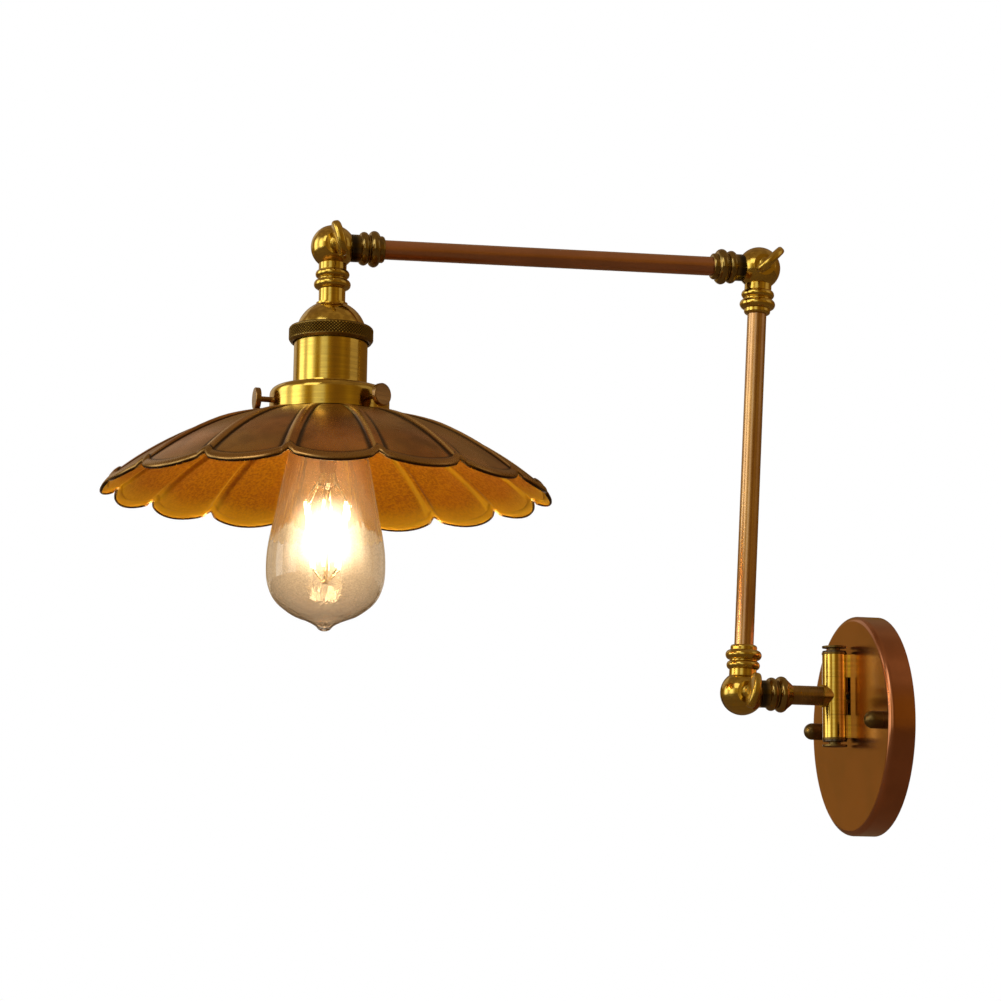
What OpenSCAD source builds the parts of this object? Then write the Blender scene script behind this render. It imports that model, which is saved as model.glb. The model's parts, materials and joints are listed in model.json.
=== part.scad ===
// Swing-arm wall lamp with friction swivels, a knurled lampholder and a scalloped shade.
// The origin is the centre of the canopy's back face on the wall. +Z is up and -Y points into the room.

/* [Canopy and strap] */
// Outer diameter of the canopy
canopy_d = 120; // [110:1:150]
// How far the canopy stands off the wall
canopy_depth = 14.5; // [14:0.5:18]
// Thickness of the canopy's sheet
canopy_sheet = 1.2; // [0.8:0.1:1.6]
// Radius of the canopy's front edge
canopy_edge_r = 3; // [2:0.5:5]
// Distance between the two studs
stud_spacing = 94; // [90:1:102]
// Diameter of the studs
stud_d = 4; // [3.5:0.1:5]
// Gap between the strap's ends and the canopy's wall
strap_gap = 2.8; // [2:0.1:6]
// Height of the strap
strap_h = 22; // [20:1:26]
// Thickness of the strap
strap_t = 2.5; // [2:0.1:3]
// Distance between the slots for the wall screws
slot_spacing = 60; // [56:1:66]
// End-to-end length of a slot
slot_length = 14; // [10:1:16]
// Width of a slot
slot_w = 5; // [4:0.5:6]
// Diameter of the cable hole in the strap
inlet_d = 12; // [8:1:12]

/* [Cap nuts] */
// Diameter of a cap nut
cap_nut_d = 9.4; // [8:0.1:11]
// Length of the straight part of a cap nut
cap_nut_straight = 4.6; // [3:0.1:6]

/* [Hinge] */
// Distance of the hinge axis from the wall
hinge_out = 22.9; // [22.9:0.1:30]
// Height of the hinge's middle above the canopy's centre
hinge_up = 16; // [14:0.5:20]
// Diameter of the hinge barrel
barrel_d = 13.4; // [13:0.1:14.5]
// Height of the middle knuckle
mid_knuckle_h = 20.5; // [18:0.5:24]
// Height of each outer knuckle
outer_knuckle_h = 12.4; // [10:0.2:15]
// Diameter of the hinge pins
pin_d = 8; // [7:0.1:8.6]
// Depth to which a pin is pressed into the middle knuckle
pin_seat = 4.7; // [4:0.1:5]
// Diameter of the bottom of a pin's groove
groove_d = 6.4; // [5.6:0.1:6.8]
// Height of a pin's groove
groove_h = 2.6; // [2:0.1:3.5]
// Thickness of the disc at a pin's end
pin_disc_t = 1; // [0.8:0.1:1.5]
// Diameter of the hinge washers
washer_d = 13.8; // [13.6:0.1:15]
// Thickness of the hinge washers
washer_t = 1; // [0.6:0.1:1.4]
// Thickness of the retaining clips
clip_t = 0.9; // [0.6:0.1:1.2]
// Diameter of the retaining clips
clip_d = 13; // [12:0.1:14]
// Thickness of the bracket's back plate
plate_t = 1.4; // [1:0.1:1.6]
// Width of the bracket's back plate
plate_w = 12.6; // [12:0.2:16]
// Width of the webs between the back plate and the knuckles
web_w = 8; // [6:0.5:10]
// Diameter of the threaded nipple
nipple_d = 10; // [9:0.5:10.5]
// Thickness of the lock nuts
lock_nut_t = 3; // [2:0.1:3.5]

/* [Swivels] */
// Diameter of the swivel balls
ball_d = 24; // [23:0.5:27]
// Diameter of the flat under a key
key_flat_d = 12; // [10:0.5:13]
// Diameter of a swivel's neck
neck_d = 15; // [14:0.5:16]
// Diameter over the inner bead of a collar
inner_bead_d = 18.3; // [17:0.1:19.5]
// Width of the inner bead
inner_bead_w = 5; // [4:0.1:5.6]
// Diameter over the outer bead of a collar
outer_bead_d = 19.8; // [18.5:0.1:21]
// Width of the outer bead
outer_bead_w = 5.6; // [5:0.1:6]
// Distance of the inner bead from the ball's centre
inner_bead_at = 15.2; // [14.8:0.1:17]
// Distance between the two beads
bead_pitch = 5.6; // [5:0.1:6.5]
// Diameter of the rim next to a tube
end_rim_d = 14.6; // [13:0.1:16]
// Distance of the collar's end from the ball's centre
collar_length = 26.4; // [25.5:0.1:30]
// How far the necks of the rear halves stand further out
rear_neck_extra = 1.4; // [0:0.1:2]
// Depth to which a tube enters its collar
tube_seat = 8; // [6:0.5:9]
// Thickness of the friction washers
friction_t = 0.5; // [0.3:0.1:1]
// Diameter of the hollow round the screw between the half balls
chamber_d = 12.4; // [11:0.1:14]
// Depth of that hollow in each half ball
chamber_depth = 5; // [3:0.5:6]

/* [Arms] */
// Distance from the hinge axis to the lower swivel
short_arm_reach = 53.3; // [50:0.1:80]
// Distance between the swivels of the riser
riser_span = 238.5; // [180:0.5:320]
// Distance between the swivels of the boom
boom_span = 241; // [180:1:320]
// Outer diameter of the tubes
tube_d = 10.6; // [10:0.1:11.4]
// Wall of the tubes
tube_wall = 0.8; // [0.6:0.1:1.2]
// Lean of the riser towards the wall, in degrees
riser_lean = 2.5; // [0:0.1:5]
// Drop of the boom towards the head, in degrees
boom_droop = 1.2; // [0:0.1:3]
// Diameter of the cable in the arms
lead_d = 6.2; // [5:0.1:6.4]
// Diameter of the wire passages
passage_d = 7; // [6.8:0.1:7.2]

/* [Thumb keys] */
// Diameter of a key's screw
key_screw_d = 5; // [4:0.1:6]
// Diameter of a key's shoulder
key_shoulder_d = 7.2; // [6.6:0.1:9]
// Thickness of a key's shoulder
key_shoulder_t = 2.2; // [1.6:0.1:3]
// Length of a key's plate across the screw
key_length = 19.6; // [16:0.2:22]
// Depth of a key's plate along the screw
key_depth = 13; // [10:0.2:15]
// Thickness of a key's plate
key_t = 4.4; // [3:0.1:5]

/* [Lampholder] */
// Distance from the head swivel's centre to the dome
head_neck_length = 31; // [28:0.5:36]
// Diameter of the plain part of the head's neck
head_neck_d = 14.3; // [13:0.1:15]
// Radius of the dome
dome_r = 19; // [18.6:0.1:20]
// Diameter of the dome's skirt
skirt_d = 37; // [36:0.2:37.4]
// Height of the dome above the knurled ring
dome_h = 13.6; // [12:0.2:15]
// Wall of the dome and the sleeve
holder_wall = 1; // [0.8:0.1:1.2]
// Diameter of the knurled ring
ring_d = 45.4; // [44:0.2:48]
// Height of the knurled ring
ring_h = 8.4; // [7.6:0.2:10]
// Chamfer on the lower edge of the knurled ring
ring_chamfer = 1.2; // [0.6:0.1:1.6]
// Diameter of the sleeve
sleeve_d = 39.4; // [39:0.2:41]
// Visible height of the sleeve between ring and gallery
sleeve_h = 25; // [22:0.5:30]
// Outer diameter of the gallery
gallery_d = 64; // [62:0.5:68]
// Height of the gallery
gallery_h = 13.8; // [13:0.2:16]
// Radius of the gallery's shoulder
shoulder_r = 4.4; // [2:0.2:5]
// Wall of the gallery
gallery_wall = 1.2; // [0.8:0.1:1.6]
// Radius of the hollow curve between the gallery and the sleeve
collar_r = 2.4; // [1:0.2:3]
// Inner diameter of the threaded contact sleeve
contact_bore = 27; // [27:0.1:27.4]

/* [Shade] */
// Diameter over the tips of the petals
shade_d = 239; // [200:1:260]
// Number of petals
petals = 16; // [12:1:20]
// Height of the shade below the gallery
shade_h = 46; // [42:0.5:50]
// Radius of the dome on which the petals lie
shade_dome_r = 183; // [175:1:200]
// Thickness of the shade's sheet
shade_sheet = 0.9; // [0.7:0.1:1.2]
// Outer diameter of the shade's neck inside the gallery
shade_neck_d = 57; // [55:0.5:58]
// Height of the shade's neck
shade_neck_h = 10.4; // [9:0.2:11]
// How far the edge draws in between two petals
scallop = 5.5; // [3:0.5:8]
// Height of the ribs between the petals
rib_h = 2.4; // [1.5:0.1:3.5]
// Half of a rib's width, as an angle in degrees
rib_w = 3.6; // [3:0.2:7]
// Width of the rolled edge
hem_w = 4.4; // [3:0.2:6]
// Height of the step behind the rolled edge
hem_step = 0.9; // [0.4:0.1:1.4]

/* [Shade screws] */
// Diameter of a shade screw's stem
stem_d = 3; // [2.6:0.1:3.4]
// Diameter of a shade screw's head
screw_head_d = 12; // [9:0.2:13]
// Thickness of a shade screw's head
screw_head_t = 3; // [2:0.1:4]
// Distance of the head's inner face from the lamp's axis
screw_head_at = 38; // [36:0.2:42]
// Direction of the first shade screw, in degrees from +X
screw_turn = 34; // [24:1:44]

/* [Bulb] */
// Largest diameter of the glass
bulb_d = 63; // [58:0.5:66]
// Length of the bulb from contact to tip
bulb_length = 145; // [142:1:150]
// Diameter of the bulb's screw cap
bulb_cap_d = 26.2; // [26:0.1:26.4]
// Number of filaments
filaments = 6; // [4:1:8]

/* [Hidden] */
$fn = 96;

// Clearances
run_fit = 0.05;       // radial gap of a pin or screw that turns
seat_fit = 0.05;      // radial gap of a piece that is pushed in and stays
side_gap = 0.15;      // gap between flat faces that slide on each other
free_gap = 0.3;       // gap between round faces of pieces that move past each other
eps = 0.01;

// Colours
copper = [0.50, 0.30, 0.14];
brass = [0.75, 0.58, 0.24];
dark_brass = [0.33, 0.27, 0.15];
bronze = [0.36, 0.25, 0.14];
steel = [0.62, 0.62, 0.62];
cable_black = [0.12, 0.12, 0.12];
porcelain = [0.90, 0.88, 0.82];
amber_glass = [0.95, 0.88, 0.70];
glow = [1.0, 0.86, 0.50];

// Places
ball_r = ball_d / 2;
tube_r = tube_d / 2;
half_split = friction_t / 2 + side_gap;
canopy_face = -canopy_depth;
strap_length = canopy_d - 2 * canopy_sheet - 2 * strap_gap;
elbow_y = -(hinge_out + short_arm_reach);
elbow_z = hinge_up;
upper_y = elbow_y + riser_span * sin(riser_lean);
upper_z = elbow_z + riser_span * cos(riser_lean);
head_y = upper_y - boom_span * cos(boom_droop);
head_z = upper_z - boom_span * sin(boom_droop);

// Levels of the head, measured down from the head swivel's centre
dome_top = head_neck_length;
ring_top = dome_top + dome_h;
ring_bottom = ring_top + ring_h;
sleeve_top = ring_top + 4.4;
gallery_top = ring_bottom + sleeve_h;
gallery_bottom = gallery_top + gallery_h;
shade_top = gallery_bottom + 0.3;
shade_rim = gallery_bottom + shade_h;
neck_top = shade_top - shade_neck_h;
screw_level = gallery_bottom - 5.8;
contact_level = gallery_top - 15;
dome_centre = ring_top + sqrt(pow(dome_r, 2) - pow(skirt_d / 2, 2));

function ring_of(n) = [for (i = [0 : n - 1]) i];

// Frames of the moving arms: +Z runs along each arm from its own swivel
module at_short_arm() { translate([0, elbow_y, elbow_z]) rotate([-90, 0, 0]) children(); }
module at_riser() { translate([0, elbow_y, elbow_z]) rotate([-riser_lean, 0, 0]) children(); }
module at_riser_end() { at_riser() translate([0, 0, riser_span]) rotate([180, 0, 0]) children(); }
module at_boom() { translate([0, upper_y, upper_z]) rotate([90 + boom_droop, 0, 0]) children(); }
module at_boom_end() { at_boom() translate([0, 0, boom_span]) rotate([180, 0, 0]) children(); }
module at_head() { translate([0, head_y, head_z]) children(); }
module at_head_down() { at_head() rotate([180, 0, 0]) children(); }
module along_y(from, to) { translate([0, from, 0]) rotate([to > from ? -90 : 90, 0, 0]) children(); }

// Plain forms
module tube(outer_r, inner_r, h) {
    difference() {
        cylinder(r = outer_r, h = h);
        translate([0, 0, -1]) cylinder(r = inner_r, h = h + 2);
    }
}
module hex_nut(across, h, bore_r) {
    difference() {
        cylinder(d = across / cos(30), h = h, $fn = 6);
        translate([0, 0, -1]) cylinder(r = bore_r, h = h + 2);
    }
}

// Canopy: a pressed cup with a rounded front edge
module canopy_outline(inset) {
    r = canopy_d / 2 - inset;
    e = canopy_edge_r - inset;
    depth = canopy_depth - inset;
    union() {
        square([r, depth - e]);
        square([r - e, depth]);
        translate([r - e, depth - e]) circle(r = e);
    }
}
module canopy() {
    color(copper) difference() {
        rotate([90, 0, 0]) rotate_extrude() intersection() {
            canopy_outline(0);
            square([canopy_d, canopy_depth]);
        }
        translate([0, 1, 0]) rotate([90, 0, 0]) rotate_extrude() union() {
            translate([0, 1]) canopy_outline(canopy_sheet);
            square([canopy_d / 2 - canopy_sheet, 2]);
        }
        for (side = [-1, 1]) translate([side * stud_spacing / 2, 0, 0]) rotate([90, 0, 0])
            cylinder(d = stud_d + 0.6, h = canopy_depth + 1);
        translate([0, 0, hinge_up]) rotate([90, 0, 0]) cylinder(d = nipple_d + 0.4, h = canopy_depth + 1);
    }
}

// Strap that is screwed to the wall and carries the studs
module slot_hole() {
    half = (slot_length - slot_w) / 2;
    for (end = [-half, half]) translate([end, 0, 0]) cylinder(d = slot_w, h = strap_t + 2);
    translate([-half, -slot_w / 2, 0]) cube([2 * half, slot_w, strap_t + 2]);
}
earth_x = -14;
block_x = 14;
module wall_strap() {
    color(steel) difference() {
        translate([-strap_length / 2, -strap_t, -strap_h / 2]) cube([strap_length, strap_t, strap_h]);
        translate([0, 1, 0]) rotate([90, 0, 0]) {
            cylinder(d = inlet_d, h = strap_t + 2);
            for (side = [-1, 1]) {
                translate([side * slot_spacing / 2, 0, 0]) slot_hole();
                translate([side * stud_spacing / 2, 0, 0]) cylinder(r = stud_d / 2 + seat_fit, h = strap_t + 2);
            }
            translate([earth_x, 0, 0]) cylinder(r = earth_screw_r + seat_fit, h = strap_t + 2);
        }
    }
}
stud_end = canopy_depth + cap_nut_straight + 1.5;
module strap_studs() {
    color(steel) for (side = [-1, 1]) translate([side * stud_spacing / 2, 0, 0]) rotate([90, 0, 0])
        cylinder(d = stud_d, h = stud_end);
}
module stud_nuts() {
    color(steel) for (side = [-1, 1]) translate([side * stud_spacing / 2, -strap_t, 0]) rotate([90, 0, 0])
        hex_nut(7, 3, stud_d / 2 + seat_fit);
}
module cap_nuts() {
    color(dark_brass) for (side = [-1, 1]) translate([side * stud_spacing / 2, canopy_face, 0]) rotate([90, 0, 0])
        difference() {
            union() {
                cylinder(d = cap_nut_d, h = cap_nut_straight);
                intersection() {
                    translate([0, 0, cap_nut_straight]) sphere(d = cap_nut_d);
                    cylinder(d = cap_nut_d, h = 2 * cap_nut_d);
                }
            }
            translate([0, 0, -1]) cylinder(r = stud_d / 2 + seat_fit, h = cap_nut_straight + 2.8);
        }
}

// Hinge: the bracket's outer knuckles hold two stub pins that are pressed into the middle knuckle
mid_half = mid_knuckle_h / 2;
outer_base = mid_half + side_gap;
outer_end = outer_base + outer_knuckle_h;
washer_base = outer_end + side_gap;
groove_base = washer_base + washer_t;
disc_base = groove_base + groove_h;
barrel_end = disc_base + pin_disc_t;
plate_face = canopy_face - plate_t;
module at_hinge() { translate([0, -hinge_out, hinge_up]) children(); }
module both_ends() {
    children();
    mirror([0, 0, 1]) children();
}
module hinge_bracket() {
    color(brass) difference() {
        union() {
            translate([-plate_w / 2, plate_face, hinge_up - outer_end])
                cube([plate_w, plate_t, 2 * outer_end]);
            at_hinge() both_ends() translate([0, 0, outer_base]) {
                cylinder(d = barrel_d, h = outer_knuckle_h);
                translate([-web_w / 2, 0, 0]) cube([web_w, hinge_out - canopy_depth - plate_t / 2, outer_knuckle_h]);
            }
        }
        at_hinge() translate([0, 0, -outer_end - 1]) cylinder(r = pin_d / 2 + run_fit, h = 2 * outer_end + 2);
        translate([0, canopy_face + 1, hinge_up]) rotate([90, 0, 0])
            cylinder(r = nipple_d / 2 + seat_fit, h = plate_t + 1.5);
    }
}
nipple_back = canopy_face + canopy_sheet + lock_nut_t + 1.2;
module bracket_nipple() {
    color(brass) translate([0, nipple_back, hinge_up]) rotate([90, 0, 0])
        tube(nipple_d / 2, passage_d / 2, nipple_back - plate_face);
}
module bracket_nut() {
    color(brass) translate([0, canopy_face + canopy_sheet + lock_nut_t, hinge_up]) rotate([90, 0, 0])
        hex_nut(nipple_d + 4, lock_nut_t, nipple_d / 2 + seat_fit);
}
module swing_knuckle() {
    color(brass) difference() {
        union() {
            at_hinge() translate([0, 0, -mid_half]) cylinder(d = barrel_d, h = mid_knuckle_h);
            translate([0, -hinge_out, hinge_up]) rotate([90, 0, 0]) cylinder(r = tube_r + 0.9, h = barrel_d / 2 + 1.2);
        }
        at_hinge() both_ends() translate([0, 0, mid_half - pin_seat]) cylinder(r = pin_d / 2, h = pin_seat + 1);
        translate([0, 0, hinge_up]) rotate([90, 0, 0]) cylinder(d = passage_d, h = hinge_out + barrel_d);
        translate([0, -hinge_out - barrel_d / 2 + 2, hinge_up]) rotate([90, 0, 0])
            cylinder(r = tube_r + seat_fit, h = barrel_d);
    }
}
module hinge_pins() {
    color(brass) at_hinge() both_ends() {
        translate([0, 0, mid_half - pin_seat]) cylinder(d = pin_d, h = groove_base - mid_half + pin_seat);
        translate([0, 0, groove_base - eps]) cylinder(d = groove_d, h = groove_h + 2 * eps);
        translate([0, 0, disc_base]) cylinder(d = barrel_d, h = pin_disc_t);
    }
}
module hinge_washers() {
    color(brass) at_hinge() both_ends() translate([0, 0, washer_base])
        tube(washer_d / 2, pin_d / 2 + seat_fit, washer_t);
}
module clip_outline() {
    mouth = groove_d * 0.62;
    difference() {
        circle(d = clip_d);
        circle(r = groove_d / 2 + seat_fit);
        translate([0, -mouth / 2]) square([clip_d, mouth]);
        for (a = [-125, 125]) rotate(a) translate([groove_d / 2 + 0.5, 0]) circle(d = 2.4);
    }
}
module retaining_clips() {
    color(steel) at_hinge() both_ends() translate([0, 0, groove_base]) rotate(100)
        linear_extrude(clip_t) clip_outline();
}

// Wiring in the canopy
earth_screw_r = 2;
block_w = 12;
block_h = 16;
block_d = 9;
block_front = -strap_t - block_d;
module terminal_block() {
    color(porcelain) difference() {
        translate([block_x - block_w / 2, block_front, -block_h / 2]) cube([block_w, block_d, block_h]);
        for (x = [-1, 1]) translate([block_x + x * block_w / 4, -strap_t - block_d / 2, -block_h]) {
            cylinder(d = 3.2, h = 2 * block_h);
            for (z = [-1, 1]) translate([0, 0, block_h + z * block_h / 4]) rotate([90, 0, 0])
                cylinder(r = 1.5 + seat_fit, h = block_d);
        }
    }
}
module terminal_screws() {
    color(brass) for (x = [-1, 1], z = [-1, 1])
        translate([block_x + x * block_w / 4, block_front + 2.6, z * block_h / 4]) rotate([90, 0, 0])
            cylinder(d = 3, h = 2.2);
}
module earth_screw() {
    color(brass) translate([earth_x, 0, 0]) rotate([90, 0, 0]) {
        cylinder(r = earth_screw_r, h = strap_t + 0.5);
        translate([0, 0, strap_t]) cylinder(r = 3.8, h = 2.4);
    }
}
// The lead leaves the connector upwards, bends over and goes straight out through the nipple
supply_r = 1.5;
supply_y = -strap_t - block_d / 2;
bend_r = 4.5;
module supply_lead() {
    run_x = block_x - block_w / 4;
    turn_z = hinge_up - bend_r;
    color(cable_black) {
        translate([run_x, supply_y, block_h / 2]) cylinder(r = supply_r, h = turn_z - block_h / 2);
        translate([run_x - bend_r, supply_y, turn_z]) rotate([90, 0, 0]) rotate_extrude(angle = 90)
            translate([bend_r, 0]) circle(r = supply_r);
        translate([bend_r, supply_y, hinge_up]) rotate([0, 90, 0])
            cylinder(r = supply_r, h = run_x - 2 * bend_r);
        translate([bend_r, supply_y - bend_r, hinge_up]) rotate([0, 0, 90]) rotate_extrude(angle = 90)
            translate([bend_r, 0]) circle(r = supply_r);
        translate([0, supply_y - bend_r, hinge_up]) rotate([90, 0, 0])
            cylinder(r = supply_r, h = supply_y - bend_r - plate_face);
    }
}

// Swivel half: the swivel axis is X, the neck runs along +Z and the half ball lies on the +X side
module collar_outline(shift) {
    square([neck_d / 2, inner_bead_at + shift + bead_pitch]);
    translate([inner_bead_d / 2 - inner_bead_w / 2, inner_bead_at + shift]) circle(d = inner_bead_w);
    translate([0, inner_bead_at + shift - inner_bead_w / 2])
        square([inner_bead_d / 2 - inner_bead_w / 2, inner_bead_w]);
    translate([outer_bead_d / 2 - outer_bead_w / 2, inner_bead_at + shift + bead_pitch]) circle(d = outer_bead_w);
    translate([0, inner_bead_at + shift + bead_pitch - outer_bead_w / 2])
        square([outer_bead_d / 2 - outer_bead_w / 2, outer_bead_w]);
}
module tube_collar_outline(shift) {
    rim = 1.4;
    union() {
        collar_outline(shift);
        square([end_rim_d / 2 - rim, collar_length + shift]);
        translate([end_rim_d / 2 - rim, collar_length + shift - rim]) circle(r = rim);
        square([end_rim_d / 2, collar_length + shift - rim]);
    }
}
module cone_collar_outline(shift) {
    cone_start = inner_bead_at + shift + bead_pitch + 1.6;
    union() {
        collar_outline(shift);
        polygon([[0, cone_start], [outer_bead_d / 2 - 0.7, cone_start], [tube_r + 0.6, collar_length + shift],
                 [0, collar_length + shift]]);
    }
}
module head_neck_outline() {
    union() {
        collar_outline(0);
        square([head_neck_d / 2, head_neck_length]);
        square([nipple_d / 2, spigot_end]);
    }
}
seat_x = sqrt(pow(ball_r, 2) - pow(key_flat_d / 2, 2));
screw_end = ball_r - 3;
neck_start = chamber_d / 2 + 1.2;
// Half ball turned about the swivel axis, with the hollow round the screw and the screw's hole
module half_ball(outer_end, hole_end) {
    rotate([0, 90, 0]) rotate_extrude() difference() {
        intersection() {
            circle(r = ball_r);
            translate([0, half_split]) square([ball_r, outer_end - half_split]);
        }
        translate([-1, 0]) square([chamber_d / 2 + 1, half_split + chamber_depth]);
        translate([-1, 0]) square([key_screw_d / 2 + run_fit + 1, hole_end]);
    }
}
// The neck clears the other half ball on its far side
module neck_piece() {
    difference() {
        rotate_extrude() intersection() {
            children();
            translate([0, neck_start]) square([ball_d, 3 * ball_d]);
        }
        intersection() {
            sphere(r = ball_r + free_gap);
            translate([half_split + 0.2 - 2 * ball_d, -ball_d, -ball_d]) cube([2 * ball_d, 2 * ball_d, 2 * ball_d]);
        }
    }
}
module swivel_front() {
    difference() {
        union() {
            half_ball(seat_x, ball_d);
            neck_piece() children();
        }
        cylinder(d = passage_d, h = 3 * ball_d);
    }
}
module swivel_back() {
    mirror([1, 0, 0]) difference() {
        union() {
            half_ball(ball_d, screw_end + 0.4);
            neck_piece() children();
        }
        cylinder(d = passage_d, h = 3 * ball_d);
    }
}
module tube_socket(shift) {
    translate([0, 0, collar_length + shift - tube_seat]) cylinder(r = tube_r + seat_fit, h = tube_seat + 1);
}
module friction_washer() {
    rotate([0, 90, 0]) translate([0, 0, -friction_t / 2 - side_gap]) difference() {
        cylinder(r = ball_r - 1, h = friction_t);
        translate([0, 0, -1]) cylinder(d = chamber_d, h = friction_t + 2);
    }
}
module arm_tube(length) {
    tube(tube_r, tube_r - tube_wall, length);
}
lead_start = ball_r + free_gap + 1;
module lower_swivel_back() {
    color(brass) at_short_arm() difference() {
        swivel_back() cone_collar_outline(rear_neck_extra);
        tube_socket(rear_neck_extra);
    }
}
module lower_swivel_washer() { color(dark_brass) at_short_arm() friction_washer(); }
module short_tube() {
    start = collar_length + rear_neck_extra - tube_seat;
    color(copper) at_short_arm() translate([0, 0, start])
        arm_tube(short_arm_reach - barrel_d / 2 + 2 - start);
}
module short_arm_lead() {
    color(cable_black) at_short_arm() translate([0, 0, lead_start])
        cylinder(d = lead_d, h = short_arm_reach - lead_start + 4);
}
module lower_swivel_front() {
    color(brass) at_riser() difference() {
        swivel_front() tube_collar_outline(0);
        tube_socket(0);
    }
}
module upper_swivel_front() {
    color(brass) at_riser_end() difference() {
        swivel_front() tube_collar_outline(0);
        tube_socket(0);
    }
}
module riser_tube() {
    start = collar_length - tube_seat;
    color(copper) at_riser() translate([0, 0, start]) arm_tube(riser_span - 2 * start);
}
module riser_lead() {
    color(cable_black) at_riser() translate([0, 0, lead_start])
        cylinder(d = lead_d, h = riser_span - 2 * lead_start);
}
module upper_swivel_back() {
    color(brass) at_boom() difference() {
        swivel_back() tube_collar_outline(rear_neck_extra);
        tube_socket(rear_neck_extra);
    }
}
module head_swivel_back() {
    color(brass) at_boom_end() difference() {
        swivel_back() tube_collar_outline(rear_neck_extra);
        tube_socket(rear_neck_extra);
    }
}
module boom_washers() {
    color(dark_brass) {
        at_boom() friction_washer();
        at_boom_end() friction_washer();
    }
}
module boom_tube() {
    start = collar_length + rear_neck_extra - tube_seat;
    color(copper) at_boom() translate([0, 0, start]) arm_tube(boom_span - 2 * start);
}
module boom_lead() {
    color(cable_black) at_boom() translate([0, 0, lead_start])
        cylinder(d = lead_d, h = boom_span - 2 * lead_start);
}

// Thumb key: a shouldered screw along +X with an oval plate that stands on edge
function oval(length, depth, n) = [for (i = [0 : n - 1]) [depth / 2 * cos(360 * i / n), length / 2 * sin(360 * i / n)]];
plate_start = seat_x + key_shoulder_t + 0.8;
module thumb_key() {
    pillow_r = 44;
    rotate([0, 90, 0]) {
        translate([0, 0, -screw_end]) cylinder(d = key_screw_d, h = screw_end + plate_start + 2);
        translate([0, 0, seat_x + side_gap]) cylinder(d = key_shoulder_d, h = key_shoulder_t);
    }
    translate([plate_start + key_depth / 2, 0, 0]) intersection() {
        rotate([90, 0, 90]) rotate([0, -90, 0]) translate([0, 0, -key_t / 2])
            linear_extrude(key_t) polygon(oval(key_length, key_depth, 48));
        for (side = [-1]) translate([0, side * (pillow_r - key_t / 2), 0]) sphere(r = pillow_r, $fn = 480);
        translate([0, pillow_r - key_t / 2, 0]) sphere(r = pillow_r, $fn = 480);
    }
}
module lower_key() { color(brass) translate([0, elbow_y, elbow_z]) rotate([-12, 0, 0]) thumb_key(); }
module upper_key() { color(brass) translate([0, upper_y, upper_z]) rotate([-45, 0, 0]) thumb_key(); }
module head_key() { color(brass) at_head() rotate([15, 0, 0]) thumb_key(); }

// Lampholder, drawn downwards from the head swivel's centre
spigot_end = dome_top + holder_wall + 1.4 + lock_nut_t + 0.6;
nut_level = dome_top + holder_wall + 1.4;
module head_swivel_front() {
    color(brass) at_head_down() swivel_front() head_neck_outline();
}
module dome_outline(inset) {
    intersection() {
        union() {
            translate([0, dome_centre]) circle(r = dome_r - inset);
            translate([0, ring_top]) square([skirt_d / 2 - inset, sleeve_top - ring_top + 1]);
        }
        translate([0, dome_top + inset]) square([skirt_d / 2 - inset, sleeve_top - dome_top - inset]);
    }
}
module socket_cap() {
    lip_r = head_neck_d / 2 + 1.3;
    color(brass) at_head_down() difference() {
        rotate_extrude() union() {
            dome_outline(0);
            translate([0, dome_top]) square([lip_r, 2]);
            translate([0, sleeve_top - flange_t]) square([sleeve_d / 2, flange_t]);
        }
        rotate_extrude() intersection() {
            union() {
                dome_outline(holder_wall);
                translate([0, sleeve_top - 1]) square([skirt_d / 2 - holder_wall, 2]);
            }
            translate([0, nut_level]) square([dome_r, 3 * dome_r]);
        }
        cylinder(r = nipple_d / 2 + seat_fit, h = ring_top);
    }
}
flange_t = 1.4;
module dome_nut() {
    color(steel) at_head_down() translate([0, 0, nut_level]) hex_nut(nipple_d + 2.6, lock_nut_t, nipple_d / 2 + seat_fit);
}
module knurled_ring() {
    lip_end = sleeve_top - flange_t - side_gap;
    color(dark_brass) at_head_down() rotate_extrude() difference() {
        polygon([[0, ring_top], [ring_d / 2 - 0.6, ring_top], [ring_d / 2, ring_top + 0.6],
                 [ring_d / 2, ring_bottom - ring_chamfer], [ring_d / 2 - ring_chamfer, ring_bottom],
                 [0, ring_bottom]]);
        translate([-1, ring_top - 1]) square([skirt_d / 2 + free_gap + 1, ring_h + 2]);
        translate([-1, lip_end]) square([sleeve_d / 2 + free_gap + 1, ring_h]);
    }
}
tail_r = 18;
ring_nut_h = 3;
tail_end = gallery_top + gallery_wall + ring_nut_h + 0.8;
module socket_shell() {
    color(brass) at_head_down() rotate_extrude() difference() {
        polygon([[0, sleeve_top], [sleeve_d / 2, sleeve_top], [sleeve_d / 2, gallery_top - 1.2],
                 [sleeve_d / 2 - 1.2, gallery_top], [tail_r, gallery_top], [tail_r, tail_end], [0, tail_end]]);
        translate([-1, sleeve_top - 1]) square([sleeve_d / 2 - holder_wall + 1, gallery_top - 2.2 - sleeve_top]);
        translate([-1, sleeve_top]) square([tail_r - holder_wall + 1, tail_end]);
    }
}
body_top = sleeve_top + 0.2;
body_r = tail_r - holder_wall - 0.4;
well_level = contact_level - 3.4;
module lampholder_body() {
    color(porcelain) at_head_down() difference() {
        translate([0, 0, body_top]) cylinder(r = body_r, h = tail_end - body_top);
        translate([0, 0, well_level]) cylinder(r = contact_bore / 2 + shell_wall + seat_fit, h = gallery_d);
        for (side = [-1, 1]) translate([side * 9, 0, body_top - 1]) cylinder(r = 1.5 + seat_fit, h = 3.6);
        translate([0, 0, body_top - 1]) cylinder(d = lead_d + 0.8, h = 2.5);
    }
}
shell_wall = 0.5;
module screw_shell() {
    color(brass) at_head_down() translate([0, 0, well_level + 1])
        tube(contact_bore / 2 + shell_wall, contact_bore / 2, tail_end - well_level - 1.6);
}
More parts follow.
